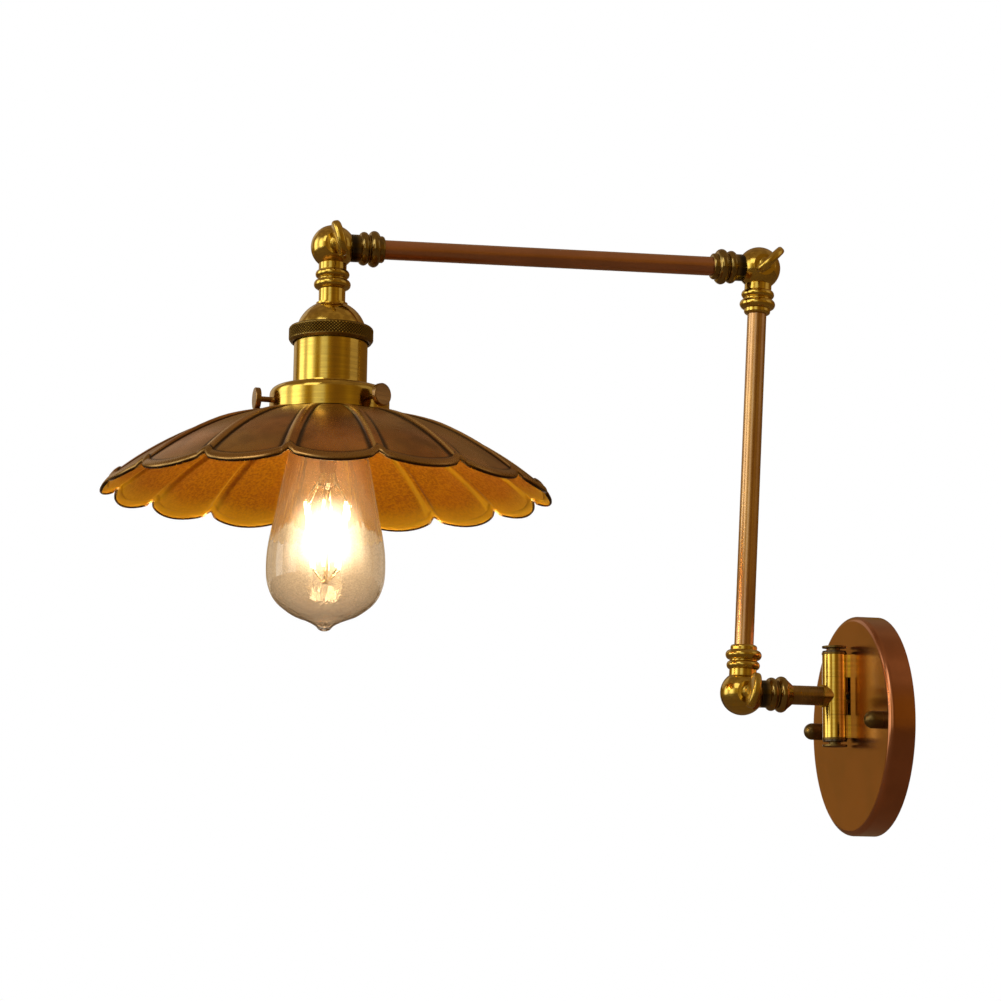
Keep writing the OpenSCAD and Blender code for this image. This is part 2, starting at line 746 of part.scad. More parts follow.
module centre_contact() {
    color(brass) at_head_down() {
        translate([0, 0, well_level]) cylinder(r = 4, h = 0.6);
        translate([0, 0, well_level]) cylinder(r = 2, h = contact_level - well_level - side_gap);
    }
}
module contact_screws() {
    color(brass) at_head_down() for (side = [-1, 1]) translate([side * 9, 0, body_top - 1.4]) {
        cylinder(r = 1.5, h = 3.6);
        cylinder(r = 2.6, h = 1.4);
    }
}
module head_lead() {
    color(cable_black) at_head_down() translate([0, 0, lead_start])
        cylinder(d = lead_d, h = body_top + 1.2 - lead_start);
}

// Gallery: a cup that hangs round the sleeve's tail and holds the shade with three screws
function screw_angle(i) = screw_turn + 120 * i;
module gallery_outline(inset) {
    r = gallery_d / 2 - inset;
    e = shoulder_r - inset;
    top = gallery_top + inset;
    union() {
        translate([0, top]) square([r - e, gallery_bottom - top]);
        translate([0, top + e]) square([r, gallery_bottom - top - e]);
        translate([r - e, top + e]) circle(r = e);
    }
}
module gallery() {
    color(brass) at_head() difference() {
        rotate([180, 0, 0]) difference() {
            rotate_extrude() union() {
                gallery_outline(0);
                difference() {
                    translate([sleeve_d / 2 + seat_fit, gallery_top - collar_r]) square(collar_r + 0.01);
                    translate([sleeve_d / 2 + seat_fit + collar_r, gallery_top - collar_r]) circle(r = collar_r);
                }
            }
            rotate_extrude() union() {
                gallery_outline(gallery_wall);
                translate([0, gallery_bottom - 1]) square([gallery_d / 2 - gallery_wall, 3]);
            }
            cylinder(r = tail_r + seat_fit, h = 2 * gallery_bottom);
        }
        for (i = [0 : 2]) rotate(screw_angle(i)) translate([0, 0, -screw_level]) rotate([0, 90, 0])
            cylinder(r = stem_d / 2 + run_fit, h = gallery_d);
    }
}
module gallery_ring() {
    color(steel) at_head_down() translate([0, 0, gallery_top + gallery_wall])
        tube(tail_r + 4, tail_r + seat_fit, ring_nut_h);
}
module shade_screw(i) {
    tip = shade_neck_d / 2 + side_gap;
    color(brass) at_head() rotate(screw_angle(i)) translate([0, 0, -screw_level]) rotate([0, 90, 0]) {
        translate([0, 0, tip]) cylinder(d = stem_d, h = screw_head_at - tip + 1);
        translate([0, 0, screw_head_at]) rotate_extrude() union() {
            square([screw_head_d / 2 - 0.6, screw_head_t]);
            translate([0, 0.6]) square([screw_head_d / 2, screw_head_t - 1.2]);
            for (y = [0.6, screw_head_t - 0.6]) translate([screw_head_d / 2 - 0.6, y]) circle(r = 0.6);
        }
    }
}
module shade_screw_front() { shade_screw(0); }
module shade_screw_back() { shade_screw(1); }
module shade_screw_left() { shade_screw(2); }

// Shade: each ring of points follows the dome, rises over the ribs and draws in between the petals
petal_steps = 10;
petal_angle = 360 / petals;
neck_r = shade_neck_d / 2;
rim_r = shade_d / 2;
first_rib = screw_turn + 14.5;
dome_drop = function(r) shade_dome_r - sqrt(pow(shade_dome_r, 2) - pow(r, 2));
rim_drop = dome_drop(rim_r) - dome_drop(neck_r + 3);
rise_k = (shade_rim - shade_top - shade_sheet) / rim_drop;
// How far through its petal an angle lies, from -1 at one rib to 1 at the next
function across(a) = let (p = (a - first_rib) / petal_angle) 2 * (p - floor(p)) - 1;
// Height of the rib at an angle, 1 on its crest and 0 on the petal
function rib_at(a) = let (d = (1 - abs(across(a))) * petal_angle / 2 / rib_w) d < 1 ? (1 + cos(180 * d)) / 2 : 0;
// The edge draws in towards a rib along a round petal end
function reach_at(a) = rim_r - scallop * pow(abs(across(a)), 5);
// Radii of the rings, as a share of the way from the neck to the edge
ring_shares = [0, 0.02, 0.12, 0.26, 0.42, 0.58, 0.73, 0.85, 0.93];
function dome_point(a, share) =
    let (edge = reach_at(a) - hem_w,
         r = neck_r + 3 + (edge - neck_r - 3) * share,
         fade = min(1, share * 2.2),
         full = neck_r + 3 + (rim_r - hem_w - neck_r - 3) * share,
         drop = (dome_drop((r + full) / 2) - dome_drop(neck_r + 3)) * rise_k,
         lift = rib_h * fade * rib_at(a))
    [r, shade_top + shade_sheet / 2 + drop - lift];
function hem_point(a, out, down) =
    let (p = dome_point(a, 1)) [p[0] + out, p[1] + down];
// Middle line of the sheet from the neck's lip to the edge of the hem
function sheet_line(a) = concat(
    [[neck_r + 0.6, neck_top], [neck_r - shade_sheet / 2, neck_top + 1.1],
     [neck_r - shade_sheet / 2, shade_top - 1.6], [neck_r + 0.7, shade_top + shade_sheet / 2 - 0.25]],
    [for (s = ring_shares) dome_point(a, s)],
    [hem_point(a, 0, 0), hem_point(a, 0.9, 0.5 - hem_step), hem_point(a, 2.6, 1.7 - hem_step / 2),
     hem_point(a, hem_w, 3.4)]);
function unit(v) = v / max(norm(v), 0.0001);
// Offset of a line's points to one side by half the sheet
function offset_line(line, h) = [for (i = ring_of(len(line)))
    let (before = line[max(i - 1, 0)], after = line[min(i + 1, len(line) - 1)], t = unit(after - before))
    line[i] + h * [-t[1], t[0]]];
function sheet_loop(a) = let (line = sheet_line(a), n = len(line), up = offset_line(line, -shade_sheet / 2),
    low = offset_line(line, shade_sheet / 2))
    concat(up, [for (i = [n - 1 : -1 : 0]) low[i]]);
module shade() {
    steps = petals * petal_steps;
    n = len(sheet_loop(0));
    points = [for (k = [0 : steps - 1]) let (a = first_rib + 360 * k / steps)
        for (p = sheet_loop(a)) [p[0] * cos(a), p[0] * sin(a), -p[1]]];
    faces = [for (k = [0 : steps - 1]) for (i = [0 : n - 1]) let (
        a = k * n + i, b = k * n + (i + 1) % n,
        c = ((k + 1) % steps) * n + (i + 1) % n, d = ((k + 1) % steps) * n + i)
        for (f = [[a, b, c], [a, c, d]]) f];
    color(bronze) at_head() polyhedron(points, faces);
}

// Bulb: the outline is a smooth curve through a few points, as level below the contact and radius
glass_r = bulb_d / 2;
glass_wall = 1;
tip_level = contact_level + bulb_length;
cap_top = contact_level + 2.4;
cap_bottom = contact_level + 24;
glass_knots = [[cap_bottom, 15.6], [cap_bottom + 6, 16.6], [cap_bottom + 28, 21.6], [tip_level - 62, 27.6],
               [tip_level - 45, glass_r - 0.7], [tip_level - 32, glass_r], [tip_level - 23, glass_r - 1.3],
               [tip_level - 15, glass_r - 5.5], [tip_level - 8.4, glass_r - 14],
               [tip_level - 5.2, glass_r - 22], [tip_level - 3, 5.2], [tip_level - 0.9, 3]];
function knot(k, i) = k[max(0, min(len(k) - 1, i))];
function spline(k, i, t) = let (p0 = knot(k, i - 1), p1 = knot(k, i), p2 = knot(k, i + 1), p3 = knot(k, i + 2))
    0.5 * ((2 * p1) + (p2 - p0) * t + (2 * p0 - 5 * p1 + 4 * p2 - p3) * t * t
    + (3 * p1 - p0 - 3 * p2 + p3) * t * t * t);
function curve(k, steps) = concat([for (i = [0 : len(k) - 2], s = [0 : steps - 1]) spline(k, i, s / steps)],
    [k[len(k) - 1]]);
glass_line = curve(glass_knots, 3);
glass_points = [for (p = glass_line) [p[1], p[0]]];
glass_inner = [for (p = offset_line(glass_points, glass_wall)) [max(p[0], 0.6), min(p[1], tip_level - 2)]];
module bulb_glass() {
    color(amber_glass, 0.4) at_head_down() rotate_extrude() difference() {
        polygon(concat([[0, cap_bottom]], glass_points, [[1.2, tip_level], [0, tip_level]]));
        polygon(concat([[0, cap_bottom + 3], [14.4, cap_bottom + 3]],
                       [for (p = glass_inner) if (p[1] > cap_bottom + 3) p],
                       [[0, tip_level - 2]]));
    }
}
thread_pitch = 3.6;
module bulb_cap() {
    core_r = bulb_cap_d / 2 - 1;
    turns = 5;
    color(steel) at_head_down() rotate_extrude() difference() {
        union() {
            polygon([[0, cap_top], [8, cap_top], [core_r, cap_top + 3], [core_r, cap_bottom], [0, cap_bottom]]);
            for (i = [0 : turns - 1]) translate([core_r - 0.6, cap_top + 4.4 + thread_pitch * i]) circle(r = 1.6);
            polygon([[0, cap_bottom - 2.4], [core_r, cap_bottom - 2.4], [15.2, cap_bottom], [0, cap_bottom]]);
        }
        translate([-1, cap_top + 1]) square([core_r - 0.4 - 1.6, cap_bottom]);
        translate([-1, cap_top - 1]) square([5, 3]);
    }
}
module bulb_contact() {
    color(cable_black) at_head_down() rotate_extrude() polygon(
        [[0, contact_level], [4.6, contact_level], [4.6, contact_level + 0.8], [8, cap_top - eps], [0, cap_top - eps]]);
}
// The glass stem carries a thin rod, and support wires hold the filaments between two crowns
stem_base = cap_bottom + 3;
crown_level = contact_level + 0.53 * bulb_length;
foot_level = contact_level + 0.77 * bulb_length;
rod_end = foot_level + 0.055 * bulb_length;
crown_r = 0.2 * bulb_d;
foot_r = 0.12 * bulb_d;
filament_r = 0.9;
wire_r = 0.4;
rod_r = 1.3;
stem_r = 4.2;
pinch_r = 5.2;
pinch_level = crown_level - 10;
module bulb_stem() {
    color(amber_glass, 0.4) at_head_down() rotate_extrude() polygon(
        [[0, stem_base], [stem_r + 4.8, stem_base], [stem_r + 1.2, stem_base + 10], [stem_r, pinch_level - 6],
         [pinch_r, pinch_level], [rod_r, pinch_level + 3], [rod_r, rod_end], [0, rod_end]]);
}
module rod_between(a, b, r) {
    v = b - a;
    turn = atan2(v[1], v[0]);
    lean = acos(v[2] / norm(v));
    translate(a) rotate([0, lean, turn]) cylinder(r = r, h = norm(v));
}
function spoke(i, r, level) = let (a = 360 * (i + 0.3) / filaments) [r * cos(a), r * sin(a), level];
module bulb_filaments() {
    color(glow) at_head_down() for (i = [0 : filaments - 1])
        rod_between(spoke(i, crown_r, crown_level), spoke(i, foot_r, foot_level), filament_r);
}
module bulb_supports() {
    color(steel) at_head_down() for (i = [0 : filaments - 1]) {
        rod_between(spoke(i, pinch_r + 0.3, pinch_level - 1), spoke(i, crown_r - 0.3, crown_level - 0.75), wire_r);
        rod_between(spoke(i, rod_r + 0.6, rod_end - 1), spoke(i, foot_r - 0.3, foot_level + 0.75), wire_r);
    }
}

canopy();
wall_strap();
strap_studs();
stud_nuts();
cap_nuts();
hinge_bracket();
bracket_nipple();
bracket_nut();
terminal_block();
terminal_screws();
earth_screw();
supply_lead();
swing_knuckle();
hinge_pins();
hinge_washers();
retaining_clips();
short_tube();
lower_swivel_back();
lower_swivel_washer();
short_arm_lead();
lower_swivel_front();
riser_tube();
upper_swivel_front();
riser_lead();
upper_swivel_back();
boom_tube();
head_swivel_back();
boom_washers();
boom_lead();
head_swivel_front();
socket_cap();
dome_nut();
socket_shell();
lampholder_body();
screw_shell();
centre_contact();
contact_screws();
head_lead();
gallery();
gallery_ring();
shade();
knurled_ring();
bulb_glass();
bulb_cap();
bulb_contact();
bulb_stem();
bulb_filaments();
bulb_supports();
lower_key();
upper_key();
head_key();
shade_screw_front();
shade_screw_left();
shade_screw_back();
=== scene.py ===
"""Swing-arm wall lamp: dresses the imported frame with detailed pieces, metal finishes, light and a camera."""
import json
import math

import bpy
from bpy.props import FloatProperty, FloatVectorProperty, IntProperty, PointerProperty
from bpy.types import Operator, Panel, PropertyGroup
from mathutils import Matrix, Vector

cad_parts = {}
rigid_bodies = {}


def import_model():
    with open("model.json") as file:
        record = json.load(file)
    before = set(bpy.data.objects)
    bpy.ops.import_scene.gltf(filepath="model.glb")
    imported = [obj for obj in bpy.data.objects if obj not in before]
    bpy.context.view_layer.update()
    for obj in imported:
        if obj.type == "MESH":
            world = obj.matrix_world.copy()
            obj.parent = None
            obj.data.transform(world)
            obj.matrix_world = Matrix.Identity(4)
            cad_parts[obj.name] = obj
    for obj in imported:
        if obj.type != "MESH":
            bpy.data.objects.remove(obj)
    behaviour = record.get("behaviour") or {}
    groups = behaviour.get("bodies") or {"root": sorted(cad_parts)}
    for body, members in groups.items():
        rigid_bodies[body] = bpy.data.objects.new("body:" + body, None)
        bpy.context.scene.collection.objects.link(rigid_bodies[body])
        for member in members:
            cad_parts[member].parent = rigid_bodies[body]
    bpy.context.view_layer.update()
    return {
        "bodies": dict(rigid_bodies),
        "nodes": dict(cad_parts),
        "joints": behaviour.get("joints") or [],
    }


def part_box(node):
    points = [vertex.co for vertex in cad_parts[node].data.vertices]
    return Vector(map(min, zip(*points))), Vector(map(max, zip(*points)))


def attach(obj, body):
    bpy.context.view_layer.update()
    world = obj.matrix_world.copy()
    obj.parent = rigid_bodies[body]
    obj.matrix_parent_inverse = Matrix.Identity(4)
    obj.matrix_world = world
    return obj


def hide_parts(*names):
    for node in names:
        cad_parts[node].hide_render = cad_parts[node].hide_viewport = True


bl_info = {
    "name": "Swing-Arm Wall Lamp",
    "version": (1, 0, 0),
    "blender": (4, 5, 0),
    "location": "View3D > Sidebar > Wall Lamp",
    "description": "Builds the visible pieces and finishes of a jointed wall lamp with a petal shade",
    "category": "Object",
}

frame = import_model()

MM = 0.001

# Centres of the joints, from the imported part
JOINT_AT = {j["name"]: Vector(j["pos_m"]) for j in frame["joints"] if "pos_m" in j}
HEAD = JOINT_AT["head_tilt"]
UPPER = JOINT_AT["boom_tilt"]
LOWER = JOINT_AT["riser_tilt"]

# Main sizes of the pieces that are modelled again
KEY_SEAT = 10.392 * MM
NECK_RADIUS = 28.5 * MM
RIM_RADIUS = 119.5 * MM
DOME_RADIUS = 183.0 * MM
SHADE_DEPTH = 46.0 * MM
THREAD_RADIUS = 18.8 * MM
CAP_RADIUS = 15.6 * MM

# Camera of the photograph: place in metres, turns in degrees, focal length and frame in pixels
CAMERA_PLACE = (1.34734, -0.52310, -0.10842)
CAMERA_YAW = 12.984
CAMERA_PITCH = 9.204
CAMERA_ROLL = 0.729
FOCAL_PIXELS = 2600.0
FRAME_PIXELS = 1001.0
SENSOR_WIDTH = 36.0

# Soft lamps: name, place, size, power, colour
SOFT_LAMPS = (
    ("soft_key", (1.1, -1.5, 1.3), 0.9, 5.0, (1.0, 0.97, 0.92)),
    ("soft_fill", (0.6, 1.3, 0.9), 1.0, 0.8, (1.0, 0.96, 0.90)),
    ("soft_back", (-1.4, -0.9, 0.9), 0.9, 0.7, (1.0, 0.97, 0.93)),
)
LAMPS_AIM = Vector((0, -0.2, 0.12))


def length(name, text, value, low, high):
    """A length property."""
    return FloatProperty(name=name, description=text, default=value, min=low, max=high,
                         subtype="DISTANCE", unit="LENGTH")


def number_of(name, text, value, low, high):
    """A property that counts."""
    return IntProperty(name=name, description=text, default=value, min=low, max=high)


def tint(name, text, rgb):
    """A colour property."""
    return FloatVectorProperty(name=name, description=text, default=rgb, size=3, min=0.0, max=1.0,
                               subtype="COLOR")


class LampSizes(PropertyGroup):
    """Sizes of the detail that the plain solids leave out."""
    knurl_columns: number_of("Knurl columns", "Points of the knurl round the ring", 78, 40, 120)
    knurl_rows: number_of("Knurl rows", "Rows of points on the ring's face", 4, 2, 8)
    knurl_height: length("Knurl height", "Height of the knurl's points", 0.00034, 0.0001, 0.001)
    petals: number_of("Petals", "Number of petals of the shade", 16, 8, 24)
    rib_height: length("Rib height", "Height of the ribs between the petals", 0.0024, 0.001, 0.004)
    rib_width: length("Rib width", "Half width of the ribs at the rim", 0.0034, 0.002, 0.006)
    scallop: length("Scallop", "How far the edge draws in between two petals", 0.0056, 0.002, 0.010)
    petal_bow: length("Petal bow", "How far the edge of a petal hangs below its ribs", 0.0026, 0.0, 0.006)
    sheet: length("Sheet", "Thickness of the shade's sheet", 0.0009, 0.0005, 0.0015)
    key_bevel: length("Key edge", "Rounding of the thumb keys' edges", 0.0016, 0.0003, 0.0020)


class LampFinishes(PropertyGroup):
    """Colours of the finishes."""
    brass: tint("Brass", "Polished parts of the swivels and the lampholder", (0.74, 0.51, 0.075))
    copper: tint("Copper", "Tubes and canopy", (0.63, 0.26, 0.10))
    copper_shadow: tint("Copper patina", "Darker areas of tubes and canopy", (0.36, 0.14, 0.05))
    aged: tint("Aged brass", "Knurled ring", (0.23, 0.155, 0.045))
    outside: tint("Shade outside", "Outer side of the shade", (0.70, 0.33, 0.10))
    inside: tint("Shade inside", "Inner side of the shade", (0.68, 0.33, 0.006))
    glass: tint("Glass", "Tint of the bulb's glass", (0.72, 0.61, 0.47))
    glow: tint("Glow", "Light of the filaments", (1.0, 0.80, 0.48))


class Val:
    """A number that varies over a surface. Arithmetic on it adds Math nodes."""

    def __init__(self, finish, socket):
        self.finish = finish
        self.socket = socket

    def join(self, operation, a, b):
        """A Math node on two values."""
        return self.finish.value("ShaderNodeMath", {"operation": operation}, {0: a, 1: b})

    def __add__(self, other):
        return self.join("ADD", self, other)

    def __radd__(self, other):
        return self.join("ADD", other, self)

    def __sub__(self, other):
        return self.join("SUBTRACT", self, other)

    def __rsub__(self, other):
        return self.join("SUBTRACT", other, self)

    def __mul__(self, other):
        return self.join("MULTIPLY", self, other)

    def __rmul__(self, other):
        return self.join("MULTIPLY", other, self)

    def __truediv__(self, other):
        return self.join("DIVIDE", self, other)


class Finish:
    """Builds the nodes of one material or world."""

    def __init__(self, owner):
        owner.use_nodes = True
        self.tree = owner.node_tree
        self.tree.nodes.clear()

    def node(self, kind, settings=None, inputs=None):
        """A node of a type, with its settings set first and then its sockets filled or linked."""
        made = self.tree.nodes.new(kind)
        for key, setting in (settings or {}).items():
            if key == "stops":
                ramp = made.color_ramp
                while len(ramp.elements) > 1:
                    ramp.elements.remove(ramp.elements[-1])
                ramp.elements[0].position = setting[0][0]
                ramp.elements[0].color = rgba(setting[0][1])
                for place, colour in setting[1:]:
                    ramp.elements.new(place).color = rgba(colour)
            elif key == "blend_by":
                made.color_ramp.interpolation = setting
            else:
                setattr(made, key, setting)
        for key, given in (inputs or {}).items():
            socket = made.inputs[key]
            if isinstance(given, Val):
                self.tree.links.new(given.socket, socket)
            elif isinstance(given, bpy.types.NodeSocket):
                self.tree.links.new(given, socket)
            elif isinstance(given, (tuple, list)) and len(given) == 3 and socket.type == "RGBA":
                socket.default_value = rgba(given)
            else:
                socket.default_value = given
        return made

    def value(self, kind, settings=None, inputs=None, output=0):
        """The number that comes out of a new node."""
        return Val(self, self.node(kind, settings, inputs).outputs[output])

    def place(self, scale, turn):
        """Object coordinates, scaled and turned."""
        coords = self.node("ShaderNodeTexCoord").outputs["Object"]
        moved = {"Vector": coords, "Scale": scale, "Rotation": turn}
        return self.node("ShaderNodeMapping", {"vector_type": "POINT"}, moved).outputs[0]

    def noise(self, scale, detail=2.0, rough=0.5, stretch=(1, 1, 1), turn=(0, 0, 0)):
        """A cloudy pattern in the piece's own coordinates."""
        given = {"Vector": self.place(stretch, turn), "Scale": scale, "Detail": detail, "Roughness": rough}
        return self.value("ShaderNodeTexNoise", {"noise_dimensions": "3D"}, given)

    def between(self, value, low, high, to_low=0.0, to_high=1.0):
        """A smooth step from one number to another while the value goes from low to high."""
        given = {"Value": value, "From Min": low, "From Max": high, "To Min": to_low, "To Max": to_high}
        return self.value("ShaderNodeMapRange", {"clamp": True, "interpolation_type": "SMOOTHSTEP"}, given)

    def mix(self, factor, a, b):
        """Colour a that turns to colour b as the factor goes to 1."""
        given = {0: factor, 6: a, 7: b}
        return self.node("ShaderNodeMix", {"data_type": "RGBA"}, given).outputs[2]

    def bump(self, height, distance, strength):
        """A fine relief on the surface."""
        given = {"Height": height, "Distance": distance, "Strength": strength}
        return self.node("ShaderNodeBump", None, given).outputs[0]

    def attribute(self, name):
        """A number that the mesh carries on its points."""
        return self.value("ShaderNodeAttribute", {"attribute_name": name}, None, 2)

    def surface(self, shader):
        """Makes a shader the material's surface."""
        self.node("ShaderNodeOutputMaterial", None, {"Surface": shader})

    def principled(self, given):
        """The material's main shader, with its sockets filled."""
        made = self.node("ShaderNodeBsdfPrincipled", None, given)
        self.surface(made.outputs[0])
        return made


def rgba(colour):
    """Red, green and blue with full cover."""
    return (colour[0], colour[1], colour[2], 1.0)


def finishes():
    """Colours as the user set them."""
    return bpy.context.scene.lamp_finishes


def sizes():
    """Sizes as the user set them."""
    return bpy.context.scene.lamp_sizes


def material(name):
    """A new material and the builder of its nodes."""
    made = bpy.data.materials.new(name)
    return made, Finish(made)


def stretched(axis, along, across):
    """Scale of a pattern along the given axis and across it."""
    return tuple(along if letter == axis else across for letter in "XYZ")


def turned_brass(name, axis, gloss=0.2, dark=0.35, base=None):
    """Lacquered lathe-turned brass: fine rings round the axis, brown patina in soft patches."""
    made, f = material(name)
    plain = base or tuple(finishes().brass)
    speck_brown = (0.12, 0.08, 0.03)
    patches = f.between(f.noise(38.0, 3.0, 0.55), 0.42, 0.68)
    rings = f.noise(900.0, 2.0, 0.6, stretched(axis, 1.0, 0.04))
    specks = f.between(f.noise(700.0, 2.0, 0.6), 0.66, 0.78)
    tone = f.mix(patches * dark, plain, tuple(c * 0.4 for c in plain))
    tone = f.mix(f.between(rings, 0.35, 0.65, 0.0, 0.30), tone, tuple(c * 0.45 for c in plain))
    tone = f.mix(specks * 0.35, tone, speck_brown)
    rough = f.between(rings, 0.3, 0.7, gloss * 0.8, gloss * 1.25) + patches * 0.06
    f.principled({"Base Color": tone, "Metallic": 1.0, "Roughness": rough, "Coat Weight": 0.6,
                  "Coat Roughness": 0.08, "Normal": f.bump(rings, 0.00002, 0.5)})
    return made


def rear_brass(name):
    """Brass of the swivels' rear halves, darker than the front halves partly in its own tone and partly as
    painted shade, with painted shade near black in the throat beside each ball.
    """
    made, f = material(name)
    old_and_shaded_brass = (0.33, 0.23, 0.06)
    brown_spots = (0.13, 0.09, 0.025)
    throat_shade_black = (0.030, 0.022, 0.010)
    coords = f.node("ShaderNodeTexCoord").outputs["Object"]
    # Painted shade: near black in the throat of each rear half, next to its ball.
    painted_throat_shade = 0.0
    for centre in (LOWER, UPPER, HEAD):
        away = f.value("ShaderNodeVectorMath", {"operation": "DISTANCE"}, {0: coords, 1: tuple(centre)}, 1)
        past_ball = f.between(away, 12.15 * MM, 12.5 * MM)
        painted_throat_shade = past_ball * f.between(away, 13.5 * MM, 17.0 * MM, 1.0, 0.0) + painted_throat_shade
    spots = f.between(f.noise(300.0, 3.0, 0.6), 0.45, 0.70)
    tone = f.mix(spots * 0.6, old_and_shaded_brass, brown_spots)
    tone = f.mix(painted_throat_shade, tone, throat_shade_black)
    f.principled({"Base Color": tone, "Metallic": 1.0, "Roughness": f.between(spots, 0.0, 1.0, 0.16, 0.26),
                  "Coat Weight": 0.4, "Coat Roughness": 0.1})
    return made


def satin_copper(name, axis, gloss=0.33, brushed=1.0, coat=1.8, base=None):
    """Lacquered satin copper-brown plate with a fine grain along the piece."""
    made, f = material(name)
    colours = finishes()
    shadow = tuple(colours.copper_shadow)
    clouds = f.between(f.noise(22.0, 4.0, 0.6), 0.35, 0.70)
    grain = f.noise(1500.0, 2.0, 0.7)
    lines = f.noise(1100.0, 2.0, 0.6, stretched(axis, 0.05, 1.0))
    tone = f.mix(clouds * 0.55, base or tuple(colours.copper), shadow)
    tone = f.mix(f.between(grain, 0.35, 0.7, 0.0, 0.25), tone, shadow)
    rough = f.between(lines * brushed + grain * (1.0 - brushed), 0.3, 0.7, gloss * 0.85, gloss * 1.2)
    relief = f.bump(grain + lines * brushed, 0.00002, 0.4 * brushed + 0.1)
    f.principled({"Base Color": tone, "Metallic": 1.0, "Roughness": rough, "Coat Weight": 1.0,
                  "Coat Roughness": 0.16, "Coat IOR": coat, "Normal": relief})
    return made


def aged_brass(name, worn=0.35, base=None):
    """Dark olive brass with bright rubbed spots; where the mesh marks them, bright points that are partly wear
    and partly painted highlight, and hollows in painted shade near black.
    """
    made, f = material(name)
    colours = finishes()
    painted_shade_black = (0.035, 0.020, 0.006)
    wear = f.between(f.noise(300.0, 3.0, 0.6), 0.5, 0.75) * worn + f.attribute("wear") * 0.8
    # Painted shade: the mesh's marked hollows turn near black.
    soot = f.between(f.attribute("soot"), 0.2, 0.9)
    tone = f.mix(wear, base or tuple(colours.aged), tuple(colours.brass))
    tone = f.mix(soot, tone, painted_shade_black)
    rough = f.between(wear, 0.0, 1.0, 0.38, 0.22)
    f.principled({"Base Color": tone, "Metallic": 1.0, "Roughness": rough,
                  "Normal": f.bump(wear, 0.00004, 0.4)})
    return made


def plated_steel(name, tone=(0.50, 0.50, 0.50)):
    """Zinc-plated steel with a faint mottling."""
    made, f = material(name)
    cloud = f.noise(180.0, 3.0, 0.6)
    colour = f.mix(f.between(cloud, 0.35, 0.65), tone, tuple(c * 0.75 for c in tone))
    f.principled({"Base Color": colour, "Metallic": 1.0, "Roughness": f.between(cloud, 0.3, 0.7, 0.28, 0.42)})
    return made


def dull(name, tone, rough, bumps=0.00004):
    """Plastic, rubber or porcelain with a slight unevenness."""
    made, f = material(name)
    cloud = f.noise(240.0, 3.0, 0.6)
    colour = f.mix(f.between(cloud, 0.3, 0.7), tone, tuple(c * 0.86 for c in tone))
    f.principled({"Base Color": colour, "Roughness": f.between(cloud, 0.3, 0.7, rough * 0.9, rough * 1.1),
                  "Normal": f.bump(cloud, bumps, 0.4)})
    return made


def shade_outer(name):
    """Brown bronze with purple and olive clouds, painted shade in the creases and along the outline, and
    painted golden glints on one side of each rib and at the cusps.
    """
    made, f = material(name)
    deep_brown = (0.30, 0.115, 0.03)
    olive_brown = (0.46, 0.34, 0.11)
    plum_brown = (0.46, 0.20, 0.17)
    streak_brown = (0.15, 0.075, 0.03)
    hem_bronze = (0.38, 0.25, 0.09)
    painted_shade_black = (0.045, 0.025, 0.012)
    glint_gold = (0.88, 0.64, 0.28)
    clouds = f.between(f.noise(24.0, 3.0, 0.55), 0.36, 0.66)
    olive = f.between(f.noise(17.0, 2.0, 0.5, (1, 1, 1), (0.7, 0.3, 1.1)), 0.42, 0.66)
    plum = f.between(f.noise(13.0, 2.0, 0.5, (1, 1, 1), (1.3, 0.9, 0.2)), 0.50, 0.70)
    grain = f.noise(1300.0, 2.0, 0.6)
    tone = f.mix(clouds * 0.7, tuple(finishes().outside), deep_brown)
    tone = f.mix(olive * 0.6, tone, olive_brown)
    tone = f.mix(plum * 0.5, tone, plum_brown)
    streaks = f.between(f.noise(70.0, 3.0, 0.6, (1.0, 1.0, 0.3)), 0.45, 0.70)
    tone = f.mix(streaks * 0.35, tone, streak_brown)
    tone = f.mix(f.between(f.attribute("rim"), 0.85, 1.0) * 0.6, tone, hem_bronze)
    # Painted shade in the creases, under the neck and along the hem's outline.
    soot = f.between(f.attribute("soot") + f.noise(260.0, 2.0, 0.6) * 0.2, 0.25, 0.95)
    tone = f.mix(soot * 0.93, tone, painted_shade_black)
    # Painted highlight: golden glints on one side of each rib and at the cusps.
    wear = f.between(f.attribute("wear") + f.noise(420.0, 2.0, 0.6) * 0.25, 0.45, 1.0)
    tone = f.mix(wear, tone, glint_gold)
    rough = f.between(grain + clouds * 0.3, 0.3, 0.9, 0.22, 0.34)
    f.principled({"Base Color": tone, "Metallic": 1.0, "Roughness": rough,
                  "Normal": f.bump(grain, 0.00003, 0.35)})
    return made


def shade_inner(name):
    """Golden-orange lacquer with an orange-peel grain, with painted light towards the rim, and beside each rib
    painted shade on one side and painted light on the other.
    """
    made, f = material(name)
    burnt_orange = (0.30, 0.085, 0.003)
    warm_orange = (0.68, 0.27, 0.012)
    painted_shade_brown = (0.16, 0.045, 0.002)
    painted_light_gold = (1.0, 0.70, 0.05)
    grain = f.noise(620.0, 3.0, 0.65)
    clouds = f.between(f.noise(30.0, 3.0, 0.55), 0.35, 0.68)
    tone = f.mix(f.between(grain, 0.36, 0.64) * 0.6, tuple(finishes().inside), burnt_orange)
    tone = f.mix(clouds * 0.35, tone, warm_orange)
    # Painted shade and light beside the ribs: one side of each groove darker, the other lighter.
    soot = f.between(f.attribute("crease"), 0.1, 1.0)
    tone = f.mix(soot * 0.70, tone, painted_shade_brown)
    golden = f.between(0 - f.attribute("crease"), 0.1, 1.0)
    # Painted light: lighter towards the rim, where the bulb's light falls more squarely.
    lighter = f.between(f.attribute("rim") + golden * 0.75, 0.0, 1.0)
    tone = f.mix(lighter * 0.95, tone, painted_light_gold)
    f.principled({"Base Color": tone, "Metallic": 0.30, "Roughness": f.between(grain, 0.3, 0.7, 0.36, 0.5),
                  "Normal": f.bump(grain, 0.00012, 0.7)})
    return made


